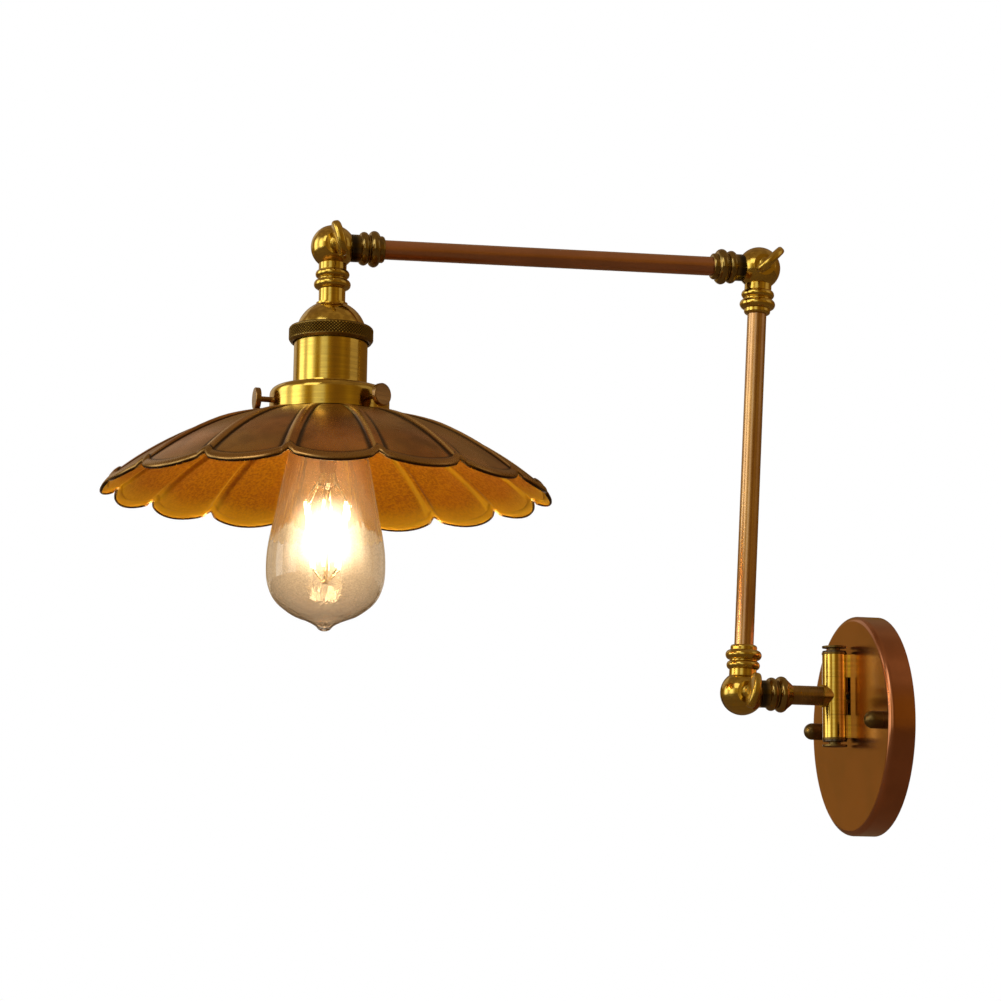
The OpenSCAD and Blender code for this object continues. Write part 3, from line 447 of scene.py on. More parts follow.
def clear_glass(name, painted_halo_heights=None):
    """Warm glass that lets the lamp's light through. Given two heights (low, high), it carries a painted glow
    of the filaments between them: a warm halo and a white core where the glass faces the viewer.
    """
    made, f = material(name)
    tint_of_glass = tuple(finishes().glass)
    clear_amber = (0.97, 0.86, 0.62)
    painted_halo_glow = (0.16, 0.10, 0.045)
    painted_core_glow = (1.2, 1.06, 0.82)
    specks = f.between(f.noise(1300.0, 2.0, 0.7), 0.40, 0.60)
    tone = f.mix(specks, tint_of_glass, tuple(c * 0.78 for c in tint_of_glass))
    given = {"Base Color": tone, "Roughness": 0.0, "IOR": 1.55, "Transmission Weight": 1.0}
    if painted_halo_heights:
        coords = f.node("ShaderNodeTexCoord").outputs["Object"]
        height = f.value("ShaderNodeSeparateXYZ", None, {0: coords}, 2)
        low, high = painted_halo_heights
        clearer = f.between(height, low + 0.012, low + 0.030)
        given["Base Color"] = f.mix(clearer * 0.55, tone, clear_amber)
        # Painted glow: emission on the glass that stands in for the filaments' halo, strongest where the glass
        # faces the viewer.
        lit = f.between(height, low - 0.045, low + 0.015)
        lit = lit * f.between(height, high, high + 0.030, 1.0, 0.4)
        facing = f.value("ShaderNodeLayerWeight", None, {"Blend": 0.5}, 1)
        core = f.between(facing, 0.02, 0.14, 1.0, 0.0) * f.between(height, low - 0.004, low + 0.012)
        core = core * f.between(height, high - 0.014, high + 0.002, 1.0, 0.0)
        wide = f.between(facing, 0.0, 0.60, 1.0, 0.0) * lit
        halo_speckle = f.between(f.noise(900.0, 2.0, 0.7), 0.3, 0.7, 0.7, 1.1)
        near = f.node("ShaderNodeVectorMath", {"operation": "SCALE"}, {0: painted_halo_glow, "Scale": wide * halo_speckle})
        white = f.node("ShaderNodeVectorMath", {"operation": "SCALE"}, {0: painted_core_glow, "Scale": core})
        both = f.node("ShaderNodeVectorMath", {"operation": "ADD"}, {0: near.outputs[0], 1: white.outputs[0]})
        given["Emission Color"] = both.outputs[0]
        given["Emission Strength"] = 1.0
        streaks = f.noise(240.0, 2.0, 0.5, (1.0, 1.0, 0.03))
        given["Normal"] = f.bump(streaks, 0.0003, 0.5)
    glass = f.node("ShaderNodeBsdfPrincipled", None, given)
    clear = f.node("ShaderNodeBsdfTransparent", None, {"Color": tint_of_glass})
    shadow = f.node("ShaderNodeLightPath").outputs["Is Shadow Ray"]
    both = f.node("ShaderNodeMixShader", None, {0: shadow, 1: glass.outputs[0], 2: clear.outputs[0]})
    f.surface(both.outputs[0])
    return made


def glowing(name, strength):
    """Lit filament."""
    made, f = material(name)
    hot_spots = (1.0, 0.90, 0.70)
    cloud = f.noise(900.0, 2.0, 0.5)
    tone = f.mix(f.between(cloud, 0.3, 0.7), tuple(finishes().glow), hot_spots)
    f.principled({"Base Color": (0.9, 0.8, 0.6), "Roughness": 0.5, "Emission Color": tone,
                  "Emission Strength": strength})
    return made


def clear_selection():
    """Leaves object mode with nothing selected."""
    if bpy.context.mode != "OBJECT":
        bpy.ops.object.mode_set(mode="OBJECT")
    bpy.ops.object.select_all(action="DESELECT")


def activate(obj):
    """Selects one piece alone."""
    clear_selection()
    obj.select_set(True)
    bpy.context.view_layer.objects.active = obj


def settle(obj):
    """Puts the object's place into its mesh."""
    activate(obj)
    bpy.ops.object.transform_apply(location=True, rotation=True, scale=True)


def finish_piece(obj, name, body, finish, stands_for=()):
    """Names a piece, gives it its finish, and sets what it rides on and stands for."""
    obj.name = name
    obj.data.name = name
    if finish is not None:
        obj.data.materials.clear()
        obj.data.materials.append(finish)
    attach(obj, body)
    if stands_for:
        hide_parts(*stands_for)
    return obj


def add_marks(obj, names):
    """Adds attributes to the points of a piece that its finish reads."""
    for name in names:
        obj.data.attributes.new(name, "FLOAT", "POINT")
    return [obj.data.attributes[name] for name in names]


def join(objects):
    """One piece from several."""
    activate(objects[0])
    for other in objects[1:]:
        other.select_set(True)
    bpy.ops.object.join()
    return bpy.context.view_layer.objects.active


def smooth(obj, degrees):
    """Shades a piece smooth, apart from edges sharper than the angle."""
    activate(obj)
    bpy.ops.object.shade_smooth_by_angle(angle=math.radians(degrees))


def soften(obj, width, segments):
    """Rounds the sharp edges of a piece."""
    activate(obj)
    rounding = obj.modifiers.new("Rounding", "BEVEL")
    rounding.width = width
    rounding.segments = segments
    rounding.limit_method = "ANGLE"
    rounding.angle_limit = math.radians(40.0)
    bpy.ops.object.modifier_apply(modifier=rounding.name)


def turned(name, outline, steps, centre, turn=None):
    """A piece turned on a lathe: outline is a list of (radius, height) along +Z from centre."""
    clear_selection()
    bpy.ops.mesh.primitive_circle_add(vertices=steps, radius=outline[0][0], location=(0, 0, outline[0][1]))
    obj = bpy.context.active_object
    bpy.ops.object.transform_apply(location=True)
    bpy.ops.object.mode_set(mode="EDIT")
    bpy.ops.mesh.select_all(action="SELECT")
    r, z = outline[0]
    for next_r, next_z in outline[1:]:
        bpy.ops.mesh.extrude_edges_move(TRANSFORM_OT_translate={"value": (0, 0, next_z - z)})
        k = next_r / r
        bpy.ops.transform.resize(value=(k, k, 1), center_override=(0, 0, next_z))
        r, z = next_r, next_z
    bpy.ops.object.mode_set(mode="OBJECT")
    obj.name = name
    obj.matrix_world = Matrix.Translation(centre) @ (turn or Matrix.Identity(4))
    settle(obj)
    return obj


class LAMP_OT_metalwork(Operator):
    """Give every carried-over solid its finish"""
    bl_idname = "lamp.metalwork"
    bl_label = "Metalwork"

    def execute(self, context):
        low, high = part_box("bulb_filaments")
        head_brass = turned_brass("brass_turned_upright", "Z", 0.12, 0.22)
        ball_brass = turned_brass("brass_turned_across", "X", 0.20, 0.45)
        rear = rear_brass("brass_rear_halves")
        tube_brass = turned_brass("brass_short_tube", "Y", 0.26, 0.8, (0.46, 0.29, 0.075))
        key_brass = turned_brass("brass_keys", "X", 0.22, 0.30)
        stem_brass = turned_brass("brass_thumb_screws", "Z", 0.26, 0.90, (0.36, 0.20, 0.055))
        copper_up = satin_copper("copper_upright", "Z", 0.27, 1.0, 1.7, (0.60, 0.35, 0.11))
        copper_out = satin_copper("copper_outward", "Y", 0.34)
        copper_face = satin_copper("copper_canopy", "X", 0.22, 0.0, 1.3, (0.60, 0.235, 0.105))
        aged = aged_brass("brass_aged")
        dark = aged_brass("brass_dark", 0.12, (0.17, 0.115, 0.04))
        steel = plated_steel("steel_plated")
        clips = plated_steel("clips_dark", (0.10, 0.08, 0.06))
        rubber = dull("cable_sheath", (0.03, 0.03, 0.03), 0.55)
        porcelain = dull("porcelain", (0.80, 0.78, 0.72), 0.25)
        connector = dull("connector_plastic", (0.78, 0.77, 0.72), 0.45)
        wire = plated_steel("support_wire", (0.62, 0.55, 0.42))
        glow = glowing("filament_glow", 5.0)
        glass = clear_glass("bulb_glass_lit", (low.z, high.z))
        stem_glass = clear_glass("bulb_stem_glass")
        table = {
            "canopy": copper_face, "riser_tube": copper_up, "boom_tube": copper_out, "short_tube": tube_brass,
            "hinge_bracket": head_brass, "swing_knuckle": head_brass, "hinge_pins": dark,
            "hinge_washers": dark, "bracket_nipple": head_brass,
            "lower_swivel_back": rear, "lower_swivel_front": head_brass,
            "upper_swivel_front": head_brass, "upper_swivel_back": rear, "head_swivel_back": rear,
            "head_swivel_front": head_brass, "socket_cap": head_brass, "socket_shell": head_brass,
            "gallery": head_brass, "screw_shell": head_brass, "centre_contact": head_brass,
            "contact_screws": head_brass, "terminal_screws": ball_brass, "earth_screw": ball_brass,
            "lower_key": key_brass, "upper_key": key_brass, "head_key": key_brass,
            "shade_screw_front": stem_brass, "shade_screw_left": stem_brass, "shade_screw_back": stem_brass,
            "cap_nuts": dark, "knurled_ring": aged, "lower_swivel_washer": dark, "boom_washers": dark,
            "shade": aged,
            "wall_strap": steel, "strap_studs": steel, "stud_nuts": steel, "bracket_nut": steel,
            "retaining_clips": clips, "dome_nut": steel, "gallery_ring": steel, "bulb_cap": steel,
            "bulb_supports": wire, "supply_lead": rubber, "short_arm_lead": rubber, "riser_lead": rubber,
            "boom_lead": rubber, "head_lead": rubber, "bulb_contact": porcelain, "lampholder_body": porcelain,
            "terminal_block": connector, "bulb_glass": glass, "bulb_stem": stem_glass, "bulb_filaments": glow,
        }
        for name, node in frame["nodes"].items():
            node.data.materials.clear()
            node.data.materials.append(table[name])
        return {"FINISHED"}


class LAMP_OT_knurled_ring(Operator):
    """Model the ring nut with its diamond knurl"""
    bl_idname = "lamp.knurled_ring"
    bl_label = "Knurled Ring"

    def execute(self, context):
        s = sizes()
        low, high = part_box("knurled_ring")
        outer = (high.x - low.x) / 2
        centre = Vector(((low.x + high.x) / 2, (low.y + high.y) / 2, low.z))
        height = high.z - low.z
        chamfer = 1.2 * MM
        lip = 1.5 * MM
        lip_depth = 3.0 * MM
        inner = THREAD_RADIUS
        face = outer - s.knurl_height
        columns = s.knurl_columns * 2
        rows = s.knurl_rows * 2
        face_low = chamfer
        face_high = height - 0.6 * MM
        step = (face_high - face_low) / rows
        outline = [(inner + lip, 0.0), (outer - chamfer, 0.0), (face, face_low)]
        outline += [(face, face_low + step * i) for i in range(1, rows + 1)]
        outline += [(outer - 0.9 * MM, height), (inner, height), (inner, height - lip_depth),
                    (inner + lip, height - lip_depth - 0.2 * MM), (inner + lip, 0.0)]
        ring = turned("knurl", outline, columns, centre)
        activate(ring)
        bpy.ops.object.mode_set(mode="EDIT")
        bpy.ops.mesh.select_all(action="SELECT")
        bpy.ops.mesh.remove_doubles(threshold=1e-6)
        bpy.ops.mesh.normals_make_consistent(inside=False)
        bpy.ops.mesh.select_all(action="DESELECT")
        bpy.ops.object.mode_set(mode="OBJECT")
        # The knurl's points are marked bright, partly wear and partly painted highlight, and the hollows
        # between them dark, as painted shade.
        wear, soot = add_marks(ring, ("wear", "soot"))
        for v in ring.data.vertices:
            p = v.co - centre
            if abs(math.hypot(p.x, p.y) - face) > 1e-6:
                continue
            row = round((p.z - face_low) / step)
            if row <= 0 or row >= rows:
                continue
            column = round(math.atan2(p.y, p.x) / (2 * math.pi) * columns)
            v.select = (row + column) % 2 == 0
            wear.data[v.index].value = 1.0 if v.select else 0.0
            soot.data[v.index].value = 0.0 if v.select else 0.9
        bpy.ops.object.mode_set(mode="EDIT")
        bpy.ops.mesh.select_mode(type="VERT")
        k = outer / face
        bpy.ops.transform.resize(value=(k, k, 1), center_override=centre)
        bpy.ops.mesh.select_all(action="SELECT")
        bpy.ops.mesh.quads_convert_to_tris(quad_method="SHORTEST_DIAGONAL")
        bpy.ops.object.mode_set(mode="OBJECT")
        smooth(ring, 12.0)
        finish_piece(ring, "ring_with_knurl", "ring", bpy.data.materials["brass_aged"],
                     ["knurled_ring"])
        return {"FINISHED"}


def dome_drop(r):
    """How far a dome falls from its top to a radius."""
    return DOME_RADIUS - math.sqrt(DOME_RADIUS * DOME_RADIUS - r * r)


class PetalSheet:
    """Middle line of the shade's sheet in each column of the mesh.

    A column lies at a share of the rib's half width or of the flat petal, so the mesh follows the ribs' feet.
    """
    RIB = (0.0, 0.3, 0.55, 0.75, 0.9, 1.0)
    FLAT = (0.06, 0.15, 0.28, 0.45, 0.63, 0.82, 1.0)
    RINGS = (0.0, 0.04, 0.09, 0.15, 0.21, 0.27, 0.34, 0.41, 0.48, 0.55, 0.62, 0.69, 0.76, 0.82, 0.88, 0.93,
             0.965, 0.985, 1.0)
    # Profile of the rolled edge: way along the petal's slope, height over it, painted shade at the crease and
    # the outline, and the rim mark: the hem's own bronze outside, painted light inside
    ROLL = ((0.35, 0.55, 0.6, 0.8), (0.9, 0.95, 0.0, 0.95), (1.9, 1.05, 0.0, 1.0), (3.1, 0.98, 0.0, 1.0),
            (4.2, 0.70, 0.0, 1.0), (5.0, 0.25, 0.3, 1.0), (5.35, -0.25, 0.8, 1.0), (5.3, -0.75, 1.0, 1.0),
            (4.95, -1.0, 1.0, 1.0))
    # Slope of the petals at the rim
    OUTWARD = 0.79
    DOWNWARD = 0.61
    # Strength of a mark in a column of the rib, or in one of the flat beside it: painted light and shade on
    # the sides of the inner grooves, painted shade at the ribs' feet outside, and painted glints
    GROOVE_SIDE_LIGHT = {0.3: 0.5, 0.55: 0.85, 0.75: 0.95, 0.9: 0.9, 1.0: 0.6}
    GROOVE_SIDE_LIGHT_BESIDE = {0.06: 0.35, 0.15: 0.1}
    CREASE = {0.75: 0.3, 0.9: 0.8, 1.0: 1.0}
    FOOT_SHADE_BESIDE = {0.06: 0.8, 0.15: 0.25}
    GLINT = {0.3: 0.75, 0.55: 0.85, 0.75: 0.35}
    # Strength of a mark in a ring of the mesh: painted shade at the neck, the hem's crease and the outline,
    # and painted light towards the rim inside
    RING_SHADE = {0.0: 0.8, 0.04: 0.3, 0.985: 0.35, 1.0: 1.0}
    RING_LIGHT = {0.88: 0.1, 0.93: 0.3, 0.965: 0.5, 0.985: 0.6, 1.0: 0.7}

    def __init__(self):
        s = sizes()
        self.pitch = 2 * math.pi / s.petals
        self.first = math.radians(48.5)
        self.rib_w = s.rib_width
        self.rib_h = s.rib_height
        self.scallop = s.scallop
        self.bow = s.petal_bow
        self.sheet = s.sheet
        self.neck = NECK_RADIUS
        self.rim = RIM_RADIUS
        self.start = self.neck + 3 * MM
        self.hem = 4.4 * MM
        self.step = 0.9 * MM
        gallery_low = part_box("gallery")[0].z
        self.neck_top = HEAD.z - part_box("shade")[1].z
        self.top = HEAD.z - gallery_low + 0.3 * MM
        bottom = HEAD.z - gallery_low + SHADE_DEPTH
        self.k = (bottom - self.top - self.sheet) / (dome_drop(self.rim) - dome_drop(self.start))
        half = [(share, None) for share in self.RIB] + [(None, share) for share in self.FLAT]
        one = [(1, column) for column in half] + [(-1, column) for column in half[-2:0:-1]]
        self.columns = [(i, side, column) for i in range(s.petals) for side, column in one]

    def away(self, column, r):
        """Angle between a column and the middle of its rib at a radius."""
        on_rib, on_flat = column
        foot = self.rib_w * (0.70 + 0.30 * r / self.rim) / r
        return foot * on_rib if on_flat is None else foot + (self.pitch / 2 - foot) * on_flat

    def angle(self, place, r):
        """Angle round the shade of a column at a radius."""
        petal, side, column = place
        start = self.first + (petal if side > 0 else petal + 1) * self.pitch
        return start + side * self.away(column, r)

    def closeness(self, column):
        """1 in the middle of a rib and 0 in the middle of a petal, at the rim."""
        return 1 - self.away(column, self.rim) / (self.pitch / 2)

    def rib(self, column):
        """Height of the rib's round top at a column, as a share."""
        return (1 - column[0] ** 2) ** 0.7 if column[1] is None else 0.0

    def dome_point(self, column, share):
        """Radius and level at a share of the way from the neck to the hem."""
        near = self.closeness(column)
        edge = self.rim - self.scallop * (0.70 * near ** 2 + 0.30 * near ** 7) - self.hem
        r = self.start + (edge - self.start) * share
        full = self.start + (self.rim - self.hem - self.start) * share
        drop = (dome_drop((r + full) / 2) - dome_drop(self.start)) * self.k
        lift = self.rib_h * min(1.0, share * 2.2) * (1 - 0.5 * share ** 6) * self.rib(column)
        lift += self.bow * near ** 2 * share ** 4
        return r, self.top + self.sheet / 2 + drop - lift

    def line(self, turn, column):
        """Points as (radius, level, painted glint, painted shade, painted light and shade beside the grooves,
        rim mark); turn is the side of the rib.
        """
        n = self.neck - self.sheet / 2
        # The neck's top carries painted shade under the gallery.
        points = [(self.neck + 0.6 * MM, self.neck_top, 0, 0, 0, 0),
                  (n, self.neck_top + 1.1 * MM, 0, 0, 0, 0),
                  (n, self.neck_top + 5 * MM, 0, 0, 0, 0),
                  (n, self.top - 1.6 * MM, 0, 0.6, 0, 0),
                  (n + 0.4 * MM, self.top - 0.3 * MM, 0, 0.8, 0, 0),
                  (self.neck + 0.7 * MM, self.top + self.sheet / 2 - 0.25 * MM, 0, 0.8, 0, 0)]
        on_rib, on_flat = column
        # Inside, one side of each groove gets painted light and the other painted shade; outside, the ribs'
        # feet get painted shade.
        groove_side_light = -turn * (self.GROOVE_SIDE_LIGHT.get(on_rib, 0.0) or self.GROOVE_SIDE_LIGHT_BESIDE.get(on_flat, 0.0))
        side = self.CREASE.get(on_rib, 0.0) or self.FOOT_SHADE_BESIDE.get(on_flat, 0.0)
        # Painted highlight on one side of each rib.
        glint = self.GLINT.get(on_rib, 0.0) if turn < 0 else 0.0
        for share in self.RINGS:
            r, level = self.dome_point(column, share)
            soot = max(side, self.RING_SHADE.get(share, 0.0))
            light = self.RING_LIGHT.get(share, 0.0)
            points.append((r, level, glint, soot, groove_side_light * min(1.0, share * 2.5), light))
        near_rib = max(0.0, min(1.0, (self.closeness(column) - 0.70) / 0.15))
        for along, height, soot, rim in self.ROLL:
            h = height * self.step
            out = self.OUTWARD * along * MM + self.DOWNWARD * h
            down = self.DOWNWARD * along * MM - self.OUTWARD * h
            # Painted glints on the hem's underside near the cusps, in place of some of its painted shade.
            edge = near_rib * max(0.0, -height)
            points.append((r + out, level + down, edge * 0.9, soot * (1 - 0.8 * edge), 0.0, rim))
        return points


class LAMP_OT_petal_shade(Operator):
    """Model the pressed shade with its petals, ribs and rolled edge"""
    bl_idname = "lamp.petal_shade"
    bl_label = "Petal Shade"

    def execute(self, context):
        sheet = PetalSheet()
        places = sheet.columns
        lines = [sheet.line(place[1], place[2]) for place in places]
        outline = [(p[0], -p[1]) for p in lines[0]]
        count = len(places)
        shade = turned("petals", outline, count, Vector((0, 0, 0)))
        # Marks for the painted glints, the painted shade, the painted light and shade beside the grooves, and
        # the rim.
        marks = add_marks(shade, ("wear", "soot", "crease", "rim"))
        for index, v in enumerate(shade.data.vertices):
            point = lines[index % count][index // count]
            r, level = point[:2]
            a = sheet.angle(places[index % count], r)
            v.co = Vector((r * math.cos(a), HEAD.y + r * math.sin(a), HEAD.z - level))
            for mark, amount in zip(marks, point[2:]):
                mark.data[index].value = amount
        activate(shade)
        bpy.ops.object.mode_set(mode="EDIT")
        bpy.ops.mesh.select_all(action="SELECT")
        bpy.ops.mesh.normals_make_consistent(inside=False)
        bpy.ops.object.mode_set(mode="OBJECT")
        if sum(p.normal.z for p in shade.data.polygons) < 0:
            shade.data.flip_normals()
        shade.data.materials.append(shade_outer("shade_outside"))
        shade.data.materials.append(shade_inner("shade_inside"))
        wall = shade.modifiers.new("Sheet", "SOLIDIFY")
        wall.thickness = sheet.sheet
        wall.offset = 0.0
        wall.material_offset = 1
        wall.material_offset_rim = 0
        bpy.ops.object.modifier_apply(modifier=wall.name)
        smooth(shade, 50.0)
        finish_piece(shade, "petal_shade", "head", None, ["shade"])
        return {"FINISHED"}


def curve(knots, steps):
    """Points of a smooth line through the knots."""
    line = []
    for i in range(len(knots) - 1):
        a, b, c, d = (Vector(knots[max(0, min(len(knots) - 1, i + k))]) for k in (-1, 0, 1, 2))
        for s in range(steps):
            t = s / steps
            line.append(0.5 * (2 * b + (c - a) * t + (2 * a - 5 * b + 4 * c - d) * t * t
                               + (3 * b - a - 3 * c + d) * t * t * t))
    line.append(Vector(knots[-1]))
    return line


class LAMP_OT_bulb_glass(Operator):
    """Model the teardrop glass of the bulb"""
    bl_idname = "lamp.bulb_glass"
    bl_label = "Bulb Glass"

    def execute(self, context):
        low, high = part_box("bulb_glass")
        r = (high.x - low.x) / 2 / MM
        centre = Vector(((low.x + high.x) / 2, (low.y + high.y) / 2, low.z))
        height = (high.z - low.z) / MM
        # Height and radius in millimetres, from the cap down to the tip
        knots = [(height, CAP_RADIUS / MM), (height - 6, 16.6), (height - 28, 21.6), (62, 27.6),
                 (45, r - 0.7), (32, r), (23, r - 1.3), (15, r - 5.5), (8.4, r - 14), (5.2, r - 22),
                 (3, 5.2), (0.9, 3), (0.15, 1.4), (0, 0.05)]
        outer = curve(knots, 8)
        # The inside lies 1 mm deeper, square to the outside
        inner = []
        for i, p in enumerate(outer):
            along = outer[min(i + 1, len(outer) - 1)] - outer[max(i - 1, 0)]
            along.normalize()
            level, width = p.x - along.y, p.y + along.x
            if level > 2.0 and level < height - 1.0 and width > 0.3:
                inner.append((width * MM, level * MM))
        inner.append((0.05 * MM, 2.0 * MM))
        outline = [(p.y * MM, p.x * MM) for p in outer] + inner[::-1] + [(CAP_RADIUS, height * MM)]
        glass = turned("glass", outline, 128, centre)
        activate(glass)
        bpy.ops.object.mode_set(mode="EDIT")
        bpy.ops.mesh.select_all(action="SELECT")
        bpy.ops.mesh.remove_doubles(threshold=0.15 * MM)
        bpy.ops.mesh.normals_make_consistent(inside=False)
        bpy.ops.object.mode_set(mode="OBJECT")
        smooth(glass, 60.0)
        finish_piece(glass, "teardrop_glass", "bulb", bpy.data.materials["bulb_glass_lit"],
                     ["bulb_glass"])
        return {"FINISHED"}


class LAMP_OT_thumb_keys(Operator):
    """Model the oval thumb keys of the swivels"""
    bl_idname = "lamp.thumb_keys"
    bl_label = "Thumb Keys"

    def execute(self, context):
        brass = bpy.data.materials["brass_keys"]
        seat = KEY_SEAT
        wing_size = (13.0 * MM, 19.6 * MM, 4.4 * MM)
        wing_centre = seat + 2.2 * MM + 0.8 * MM + 6.5 * MM
        # Node, body, centre of its swivel, and how far the wing is turned at rest
        keys = (("lower_key", "lower_thumb_key", LOWER, -12.0),
                ("upper_key", "upper_thumb_key", UPPER, -45.0),
                ("head_key", "head_thumb_key", HEAD, 15.0))
        upright = Matrix.Rotation(math.radians(90), 4, "X")
        for node, body, centre, turn in keys:
            clear_selection()
            bpy.ops.mesh.primitive_cylinder_add(vertices=64, radius=0.5, depth=1.0, end_fill_type="NGON")
            wing = bpy.context.active_object
            wing.scale = wing_size
            settle(wing)
            wing.matrix_world = Matrix.Translation((wing_centre, 0, 0)) @ upright
            settle(wing)
            soften(wing, sizes().key_bevel, 4)
            shank = turned("shank", [(1.0 * MM, -9.0 * MM), (2.5 * MM, -9.0 * MM), (2.5 * MM, seat / 2),
                                     (2.5 * MM, seat + 0.15 * MM), (3.6 * MM, seat + 0.15 * MM),
                                     (3.6 * MM, seat + 1.9 * MM), (3.1 * MM, seat + 2.35 * MM),
                                     (2.5 * MM, seat + 2.5 * MM), (2.3 * MM, seat + 3.4 * MM),
                                     (2.4 * MM, seat + 5.2 * MM), (1.0 * MM, seat + 5.4 * MM)], 40,
                           Vector((0, 0, 0)), Matrix.Rotation(math.radians(90), 4, "Y"))
            activate(shank)
            bpy.ops.object.mode_set(mode="EDIT")
            bpy.ops.mesh.select_all(action="SELECT")
            bpy.ops.mesh.fill_holes(sides=0)
            bpy.ops.mesh.normals_make_consistent(inside=False)
            bpy.ops.object.mode_set(mode="OBJECT")
            key = join([wing, shank])
            key.matrix_world = Matrix.Translation(centre) @ Matrix.Rotation(math.radians(turn), 4, "X")
            settle(key)
            smooth(key, 40.0)
            finish_piece(key, node + "_wing", body, brass, [node])
        return {"FINISHED"}


class LAMP_OT_stage(Operator):
    """Set up the floor, the studio light and the camera"""
    bl_idname = "lamp.stage"
    bl_label = "Stage"

    def execute(self, context):
        scene = context.scene
        scene.view_settings.view_transform = "Standard"
        self.camera(scene)
        self.world(scene)
        self.floor()
        self.lamps()
        return {"FINISHED"}

    def camera(self, scene):
        """Stands where the photograph was taken from."""
        yaw = math.radians(CAMERA_YAW)
        pitch = math.radians(CAMERA_PITCH)
        roll = math.radians(CAMERA_ROLL)
        forward = Vector((-math.cos(yaw) * math.cos(pitch), math.sin(yaw) * math.cos(pitch), math.sin(pitch)))
        level = Vector((math.sin(yaw), math.cos(yaw), 0.0))
        upright = level.cross(forward)
        right = level * math.cos(roll) + upright * math.sin(roll)
        up = upright * math.cos(roll) - level * math.sin(roll)
        turn = Matrix((right, up, -forward)).transposed().to_4x4()
        data = bpy.data.cameras.new("camera")
        data.sensor_width = SENSOR_WIDTH
        data.lens = FOCAL_PIXELS * SENSOR_WIDTH / FRAME_PIXELS
        data.clip_start = 0.01
        data.clip_end = 50.0
        camera = bpy.data.objects.new("camera", data)
        camera.matrix_world = Matrix.Translation(CAMERA_PLACE) @ turn
        scene.collection.objects.link(camera)
        scene.camera = camera

    def world(self, scene):
        """Upright bands of light for the metal, which sees white only straight behind the lamp.

        The camera and what is seen through glass get plain white.
        """
        world = bpy.data.worlds.new("studio")
        scene.world = world
        f = Finish(world)
        direction = f.node("ShaderNodeTexCoord").outputs["Generated"]
        # The bands are turned about the upright, counted from the side where the camera stands
        yaw = math.radians(-9.1)
        ahead = (math.cos(yaw), math.sin(yaw), 0.0)
        left = (math.sin(yaw), -math.cos(yaw), 0.0)
        front = f.value("ShaderNodeVectorMath", {"operation": "DOT_PRODUCT"}, {0: direction, 1: ahead}, 1)
        side = f.value("ShaderNodeVectorMath", {"operation": "DOT_PRODUCT"}, {0: direction, 1: left}, 1)
        share = side.join("ARCTAN2", side, front) / (2 * math.pi) + 0.5

        def at(degrees):
            """Place on the ramp of a turn from the camera's side."""
            return 0.5 + degrees / 360.0

        def warm(v):
            """A brown that turns golden as it gets brighter."""
            return (v, v * (0.40 + 0.60 * v), v * 0.11)

        def pale(v):
            """A warm white."""
            return (v, v * 0.95, v * 0.84)

        stops = [(0.0, warm(0.18)), (at(-140), warm(0.15)), (at(-120), warm(0.17)), (at(-98), warm(0.22)),
                 (at(-66), warm(0.26)), (at(-50), warm(0.24)), (at(-38), warm(0.34)), (at(-26), warm(0.23)),
                 (at(-10), warm(0.20)), (at(0), warm(0.26)), (at(7), warm(0.45)), (at(13), pale(0.80)),
                 (at(28), pale(1.0)), (at(35), warm(0.45)), (at(41), warm(0.30)), (at(47), warm(0.50)),
                 (at(54), pale(0.95)), (at(62), pale(2.3)), (at(74), pale(2.5)), (at(79), pale(0.95)),
                 (at(88), pale(0.85)), (at(94), pale(2.3)), (at(107), pale(2.4)), (at(116), warm(0.45)),
                 (at(131), warm(0.18)), (at(150), warm(0.30)), (at(172), warm(0.20))]
        ramp = f.node("ShaderNodeValToRGB", {"stops": stops, "blend_by": "LINEAR"}, {"Fac": share})
        bands = ramp.outputs[0]
        height = f.value("ShaderNodeSeparateXYZ", None, {0: direction}, 2)
        # High up the bands fade and get darker shapes, and near the floor they turn dark
        bands = f.mix(f.between(height, 0.36, 0.66), bands, (0.32, 0.21, 0.11))
        shapes = f.value("ShaderNodeTexNoise", {"noise_dimensions": "3D"},
                         {"Vector": direction, "Scale": 4.5, "Detail": 1.0})
        darker = f.between(shapes, 0.44, 0.54) * f.between(height, 0.30, 0.55)
        bands = f.mix(darker * 0.45, bands, (0.12, 0.06, 0.025))
        bands = f.mix(f.between(height, -0.85, -0.45, 1.0, 0.0), bands, (0.10, 0.065, 0.03))
        light_path = f.node("ShaderNodeLightPath")
        seen = f.value("ShaderNodeMath", {"operation": "MAXIMUM"},
                       {0: light_path.outputs["Is Camera Ray"], 1: light_path.outputs["Is Transmission Ray"]})
        mirrored = Val(f, light_path.outputs["Is Glossy Ray"]) * f.between(front, -0.995, -0.965, 1.0, 0.0)
        seen = seen.join("MAXIMUM", seen, mirrored)
        studio = f.node("ShaderNodeBackground", None, {"Color": bands, "Strength": 1.0})
        white = f.node("ShaderNodeBackground", None, {"Color": (1.0, 1.0, 1.0), "Strength": 1.0})
        both = f.node("ShaderNodeMixShader", None, {0: seen, 1: studio.outputs[0], 2: white.outputs[0]})
        f.node("ShaderNodeOutputWorld", None, {"Surface": both.outputs[0]})

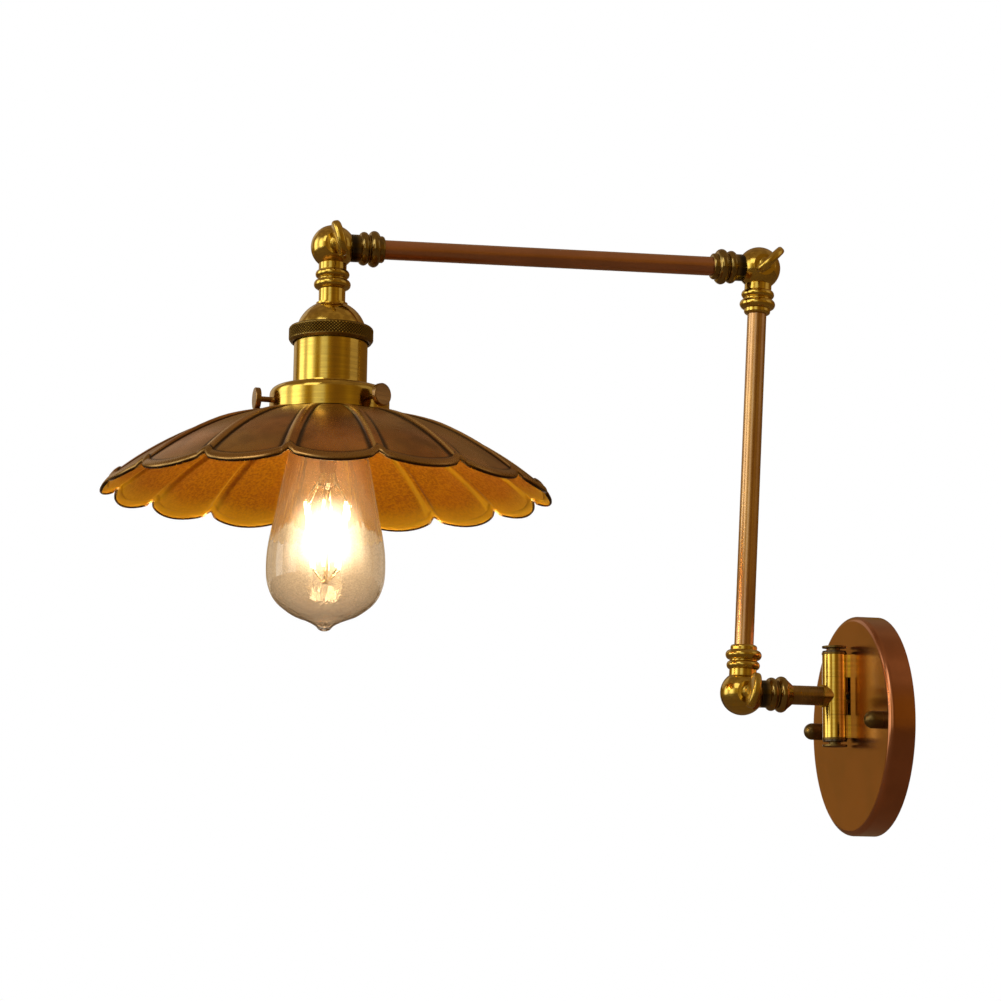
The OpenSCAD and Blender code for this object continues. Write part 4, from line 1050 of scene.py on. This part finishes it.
    def floor(self):
        """A sheet of paper that the camera sees nearly white."""
        clear_selection()
        bpy.ops.mesh.primitive_grid_add(x_subdivisions=8, y_subdivisions=8, size=12.0,
                                        location=(0, -1.0, -0.42))
        floor = bpy.context.active_object
        settle(floor)
        floor.name = "floor"
        made, f = material("floor_paper")
        cloud = f.noise(6.0, 2.0, 0.5)
        colour = f.mix(f.between(cloud, 0.3, 0.7), (0.34, 0.27, 0.20), (0.30, 0.24, 0.18))
        paper = f.node("ShaderNodeBsdfPrincipled", None, {"Base Color": colour, "Roughness": 0.8})
        shine = f.node("ShaderNodeEmission", None, {"Color": (1.0, 1.0, 1.0), "Strength": 1.0})
        seen = Val(f, f.node("ShaderNodeLightPath").outputs["Is Camera Ray"])
        both = f.node("ShaderNodeMixShader", None,
                      {0: seen * 0.985, 1: paper.outputs[0], 2: shine.outputs[0]})
        f.surface(both.outputs[0])
        floor.data.materials.append(made)

    def lamps(self):
        """Soft lamps round the part, and the light of the filaments inside the bulb."""
        for name, place, size, power, tone in SOFT_LAMPS:
            data = bpy.data.lights.new(name, "AREA")
            data.size = size
            data.energy = power
            data.color = tone
            lamp = bpy.data.objects.new(name, data)
            aim = LAMPS_AIM - Vector(place)
            lamp.matrix_world = Matrix.Translation(place) @ aim.to_track_quat("-Z", "Y").to_matrix().to_4x4()
            bpy.context.scene.collection.objects.link(lamp)
        data = bpy.data.lights.new("filament_light", "POINT")
        data.energy = 0.46
        data.color = (1.0, 0.78, 0.50)
        data.shadow_soft_size = 0.012
        lamp = bpy.data.objects.new("filament_light", data)
        low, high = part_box("bulb_filaments")
        lamp.location = (low + high) / 2
        bpy.context.scene.collection.objects.link(lamp)
        lamp.parent = frame["bodies"]["bulb"]


class LAMP_PT_panel(Panel):
    """Lists the lamp's pieces"""
    bl_label = "Wall Lamp"
    bl_idname = "LAMP_PT_panel"
    bl_space_type = "VIEW_3D"
    bl_region_type = "UI"
    bl_category = "Wall Lamp"

    def draw(self, context):
        """Shows the sizes, the colours and one button for each piece."""
        column = self.layout.column()
        for name in PropertyNames.sizes:
            column.prop(context.scene.lamp_sizes, name)
        for name in PropertyNames.colours:
            column.prop(context.scene.lamp_finishes, name)
        for step in STEPS:
            column.operator(step.bl_idname)


class PropertyNames:
    """Names of the properties that the panel shows."""
    sizes = ("knurl_columns", "knurl_rows", "knurl_height", "petals", "rib_height", "rib_width", "scallop",
             "petal_bow", "sheet", "key_bevel")
    colours = ("brass", "copper", "copper_shadow", "aged", "outside", "inside", "glass", "glow")


STEPS = (LAMP_OT_metalwork, LAMP_OT_knurled_ring, LAMP_OT_petal_shade, LAMP_OT_bulb_glass, LAMP_OT_thumb_keys,
         LAMP_OT_stage)
CLASSES = (LampSizes, LampFinishes) + STEPS + (LAMP_PT_panel,)


def register():
    """Makes the classes and the two groups of properties known."""
    for item in CLASSES:
        bpy.utils.register_class(item)
    bpy.types.Scene.lamp_sizes = PointerProperty(type=LampSizes)
    bpy.types.Scene.lamp_finishes = PointerProperty(type=LampFinishes)


def unregister():
    """Takes the classes and the properties away again."""
    del bpy.types.Scene.lamp_finishes
    del bpy.types.Scene.lamp_sizes
    for item in reversed(CLASSES):
        bpy.utils.unregister_class(item)


def main():
    """Builds all pieces in order."""
    register()
    bpy.ops.lamp.metalwork()
    bpy.ops.lamp.knurled_ring()
    bpy.ops.lamp.petal_shade()
    bpy.ops.lamp.bulb_glass()
    bpy.ops.lamp.thumb_keys()
    bpy.ops.lamp.stage()


if __name__ == "__main__":
    main()
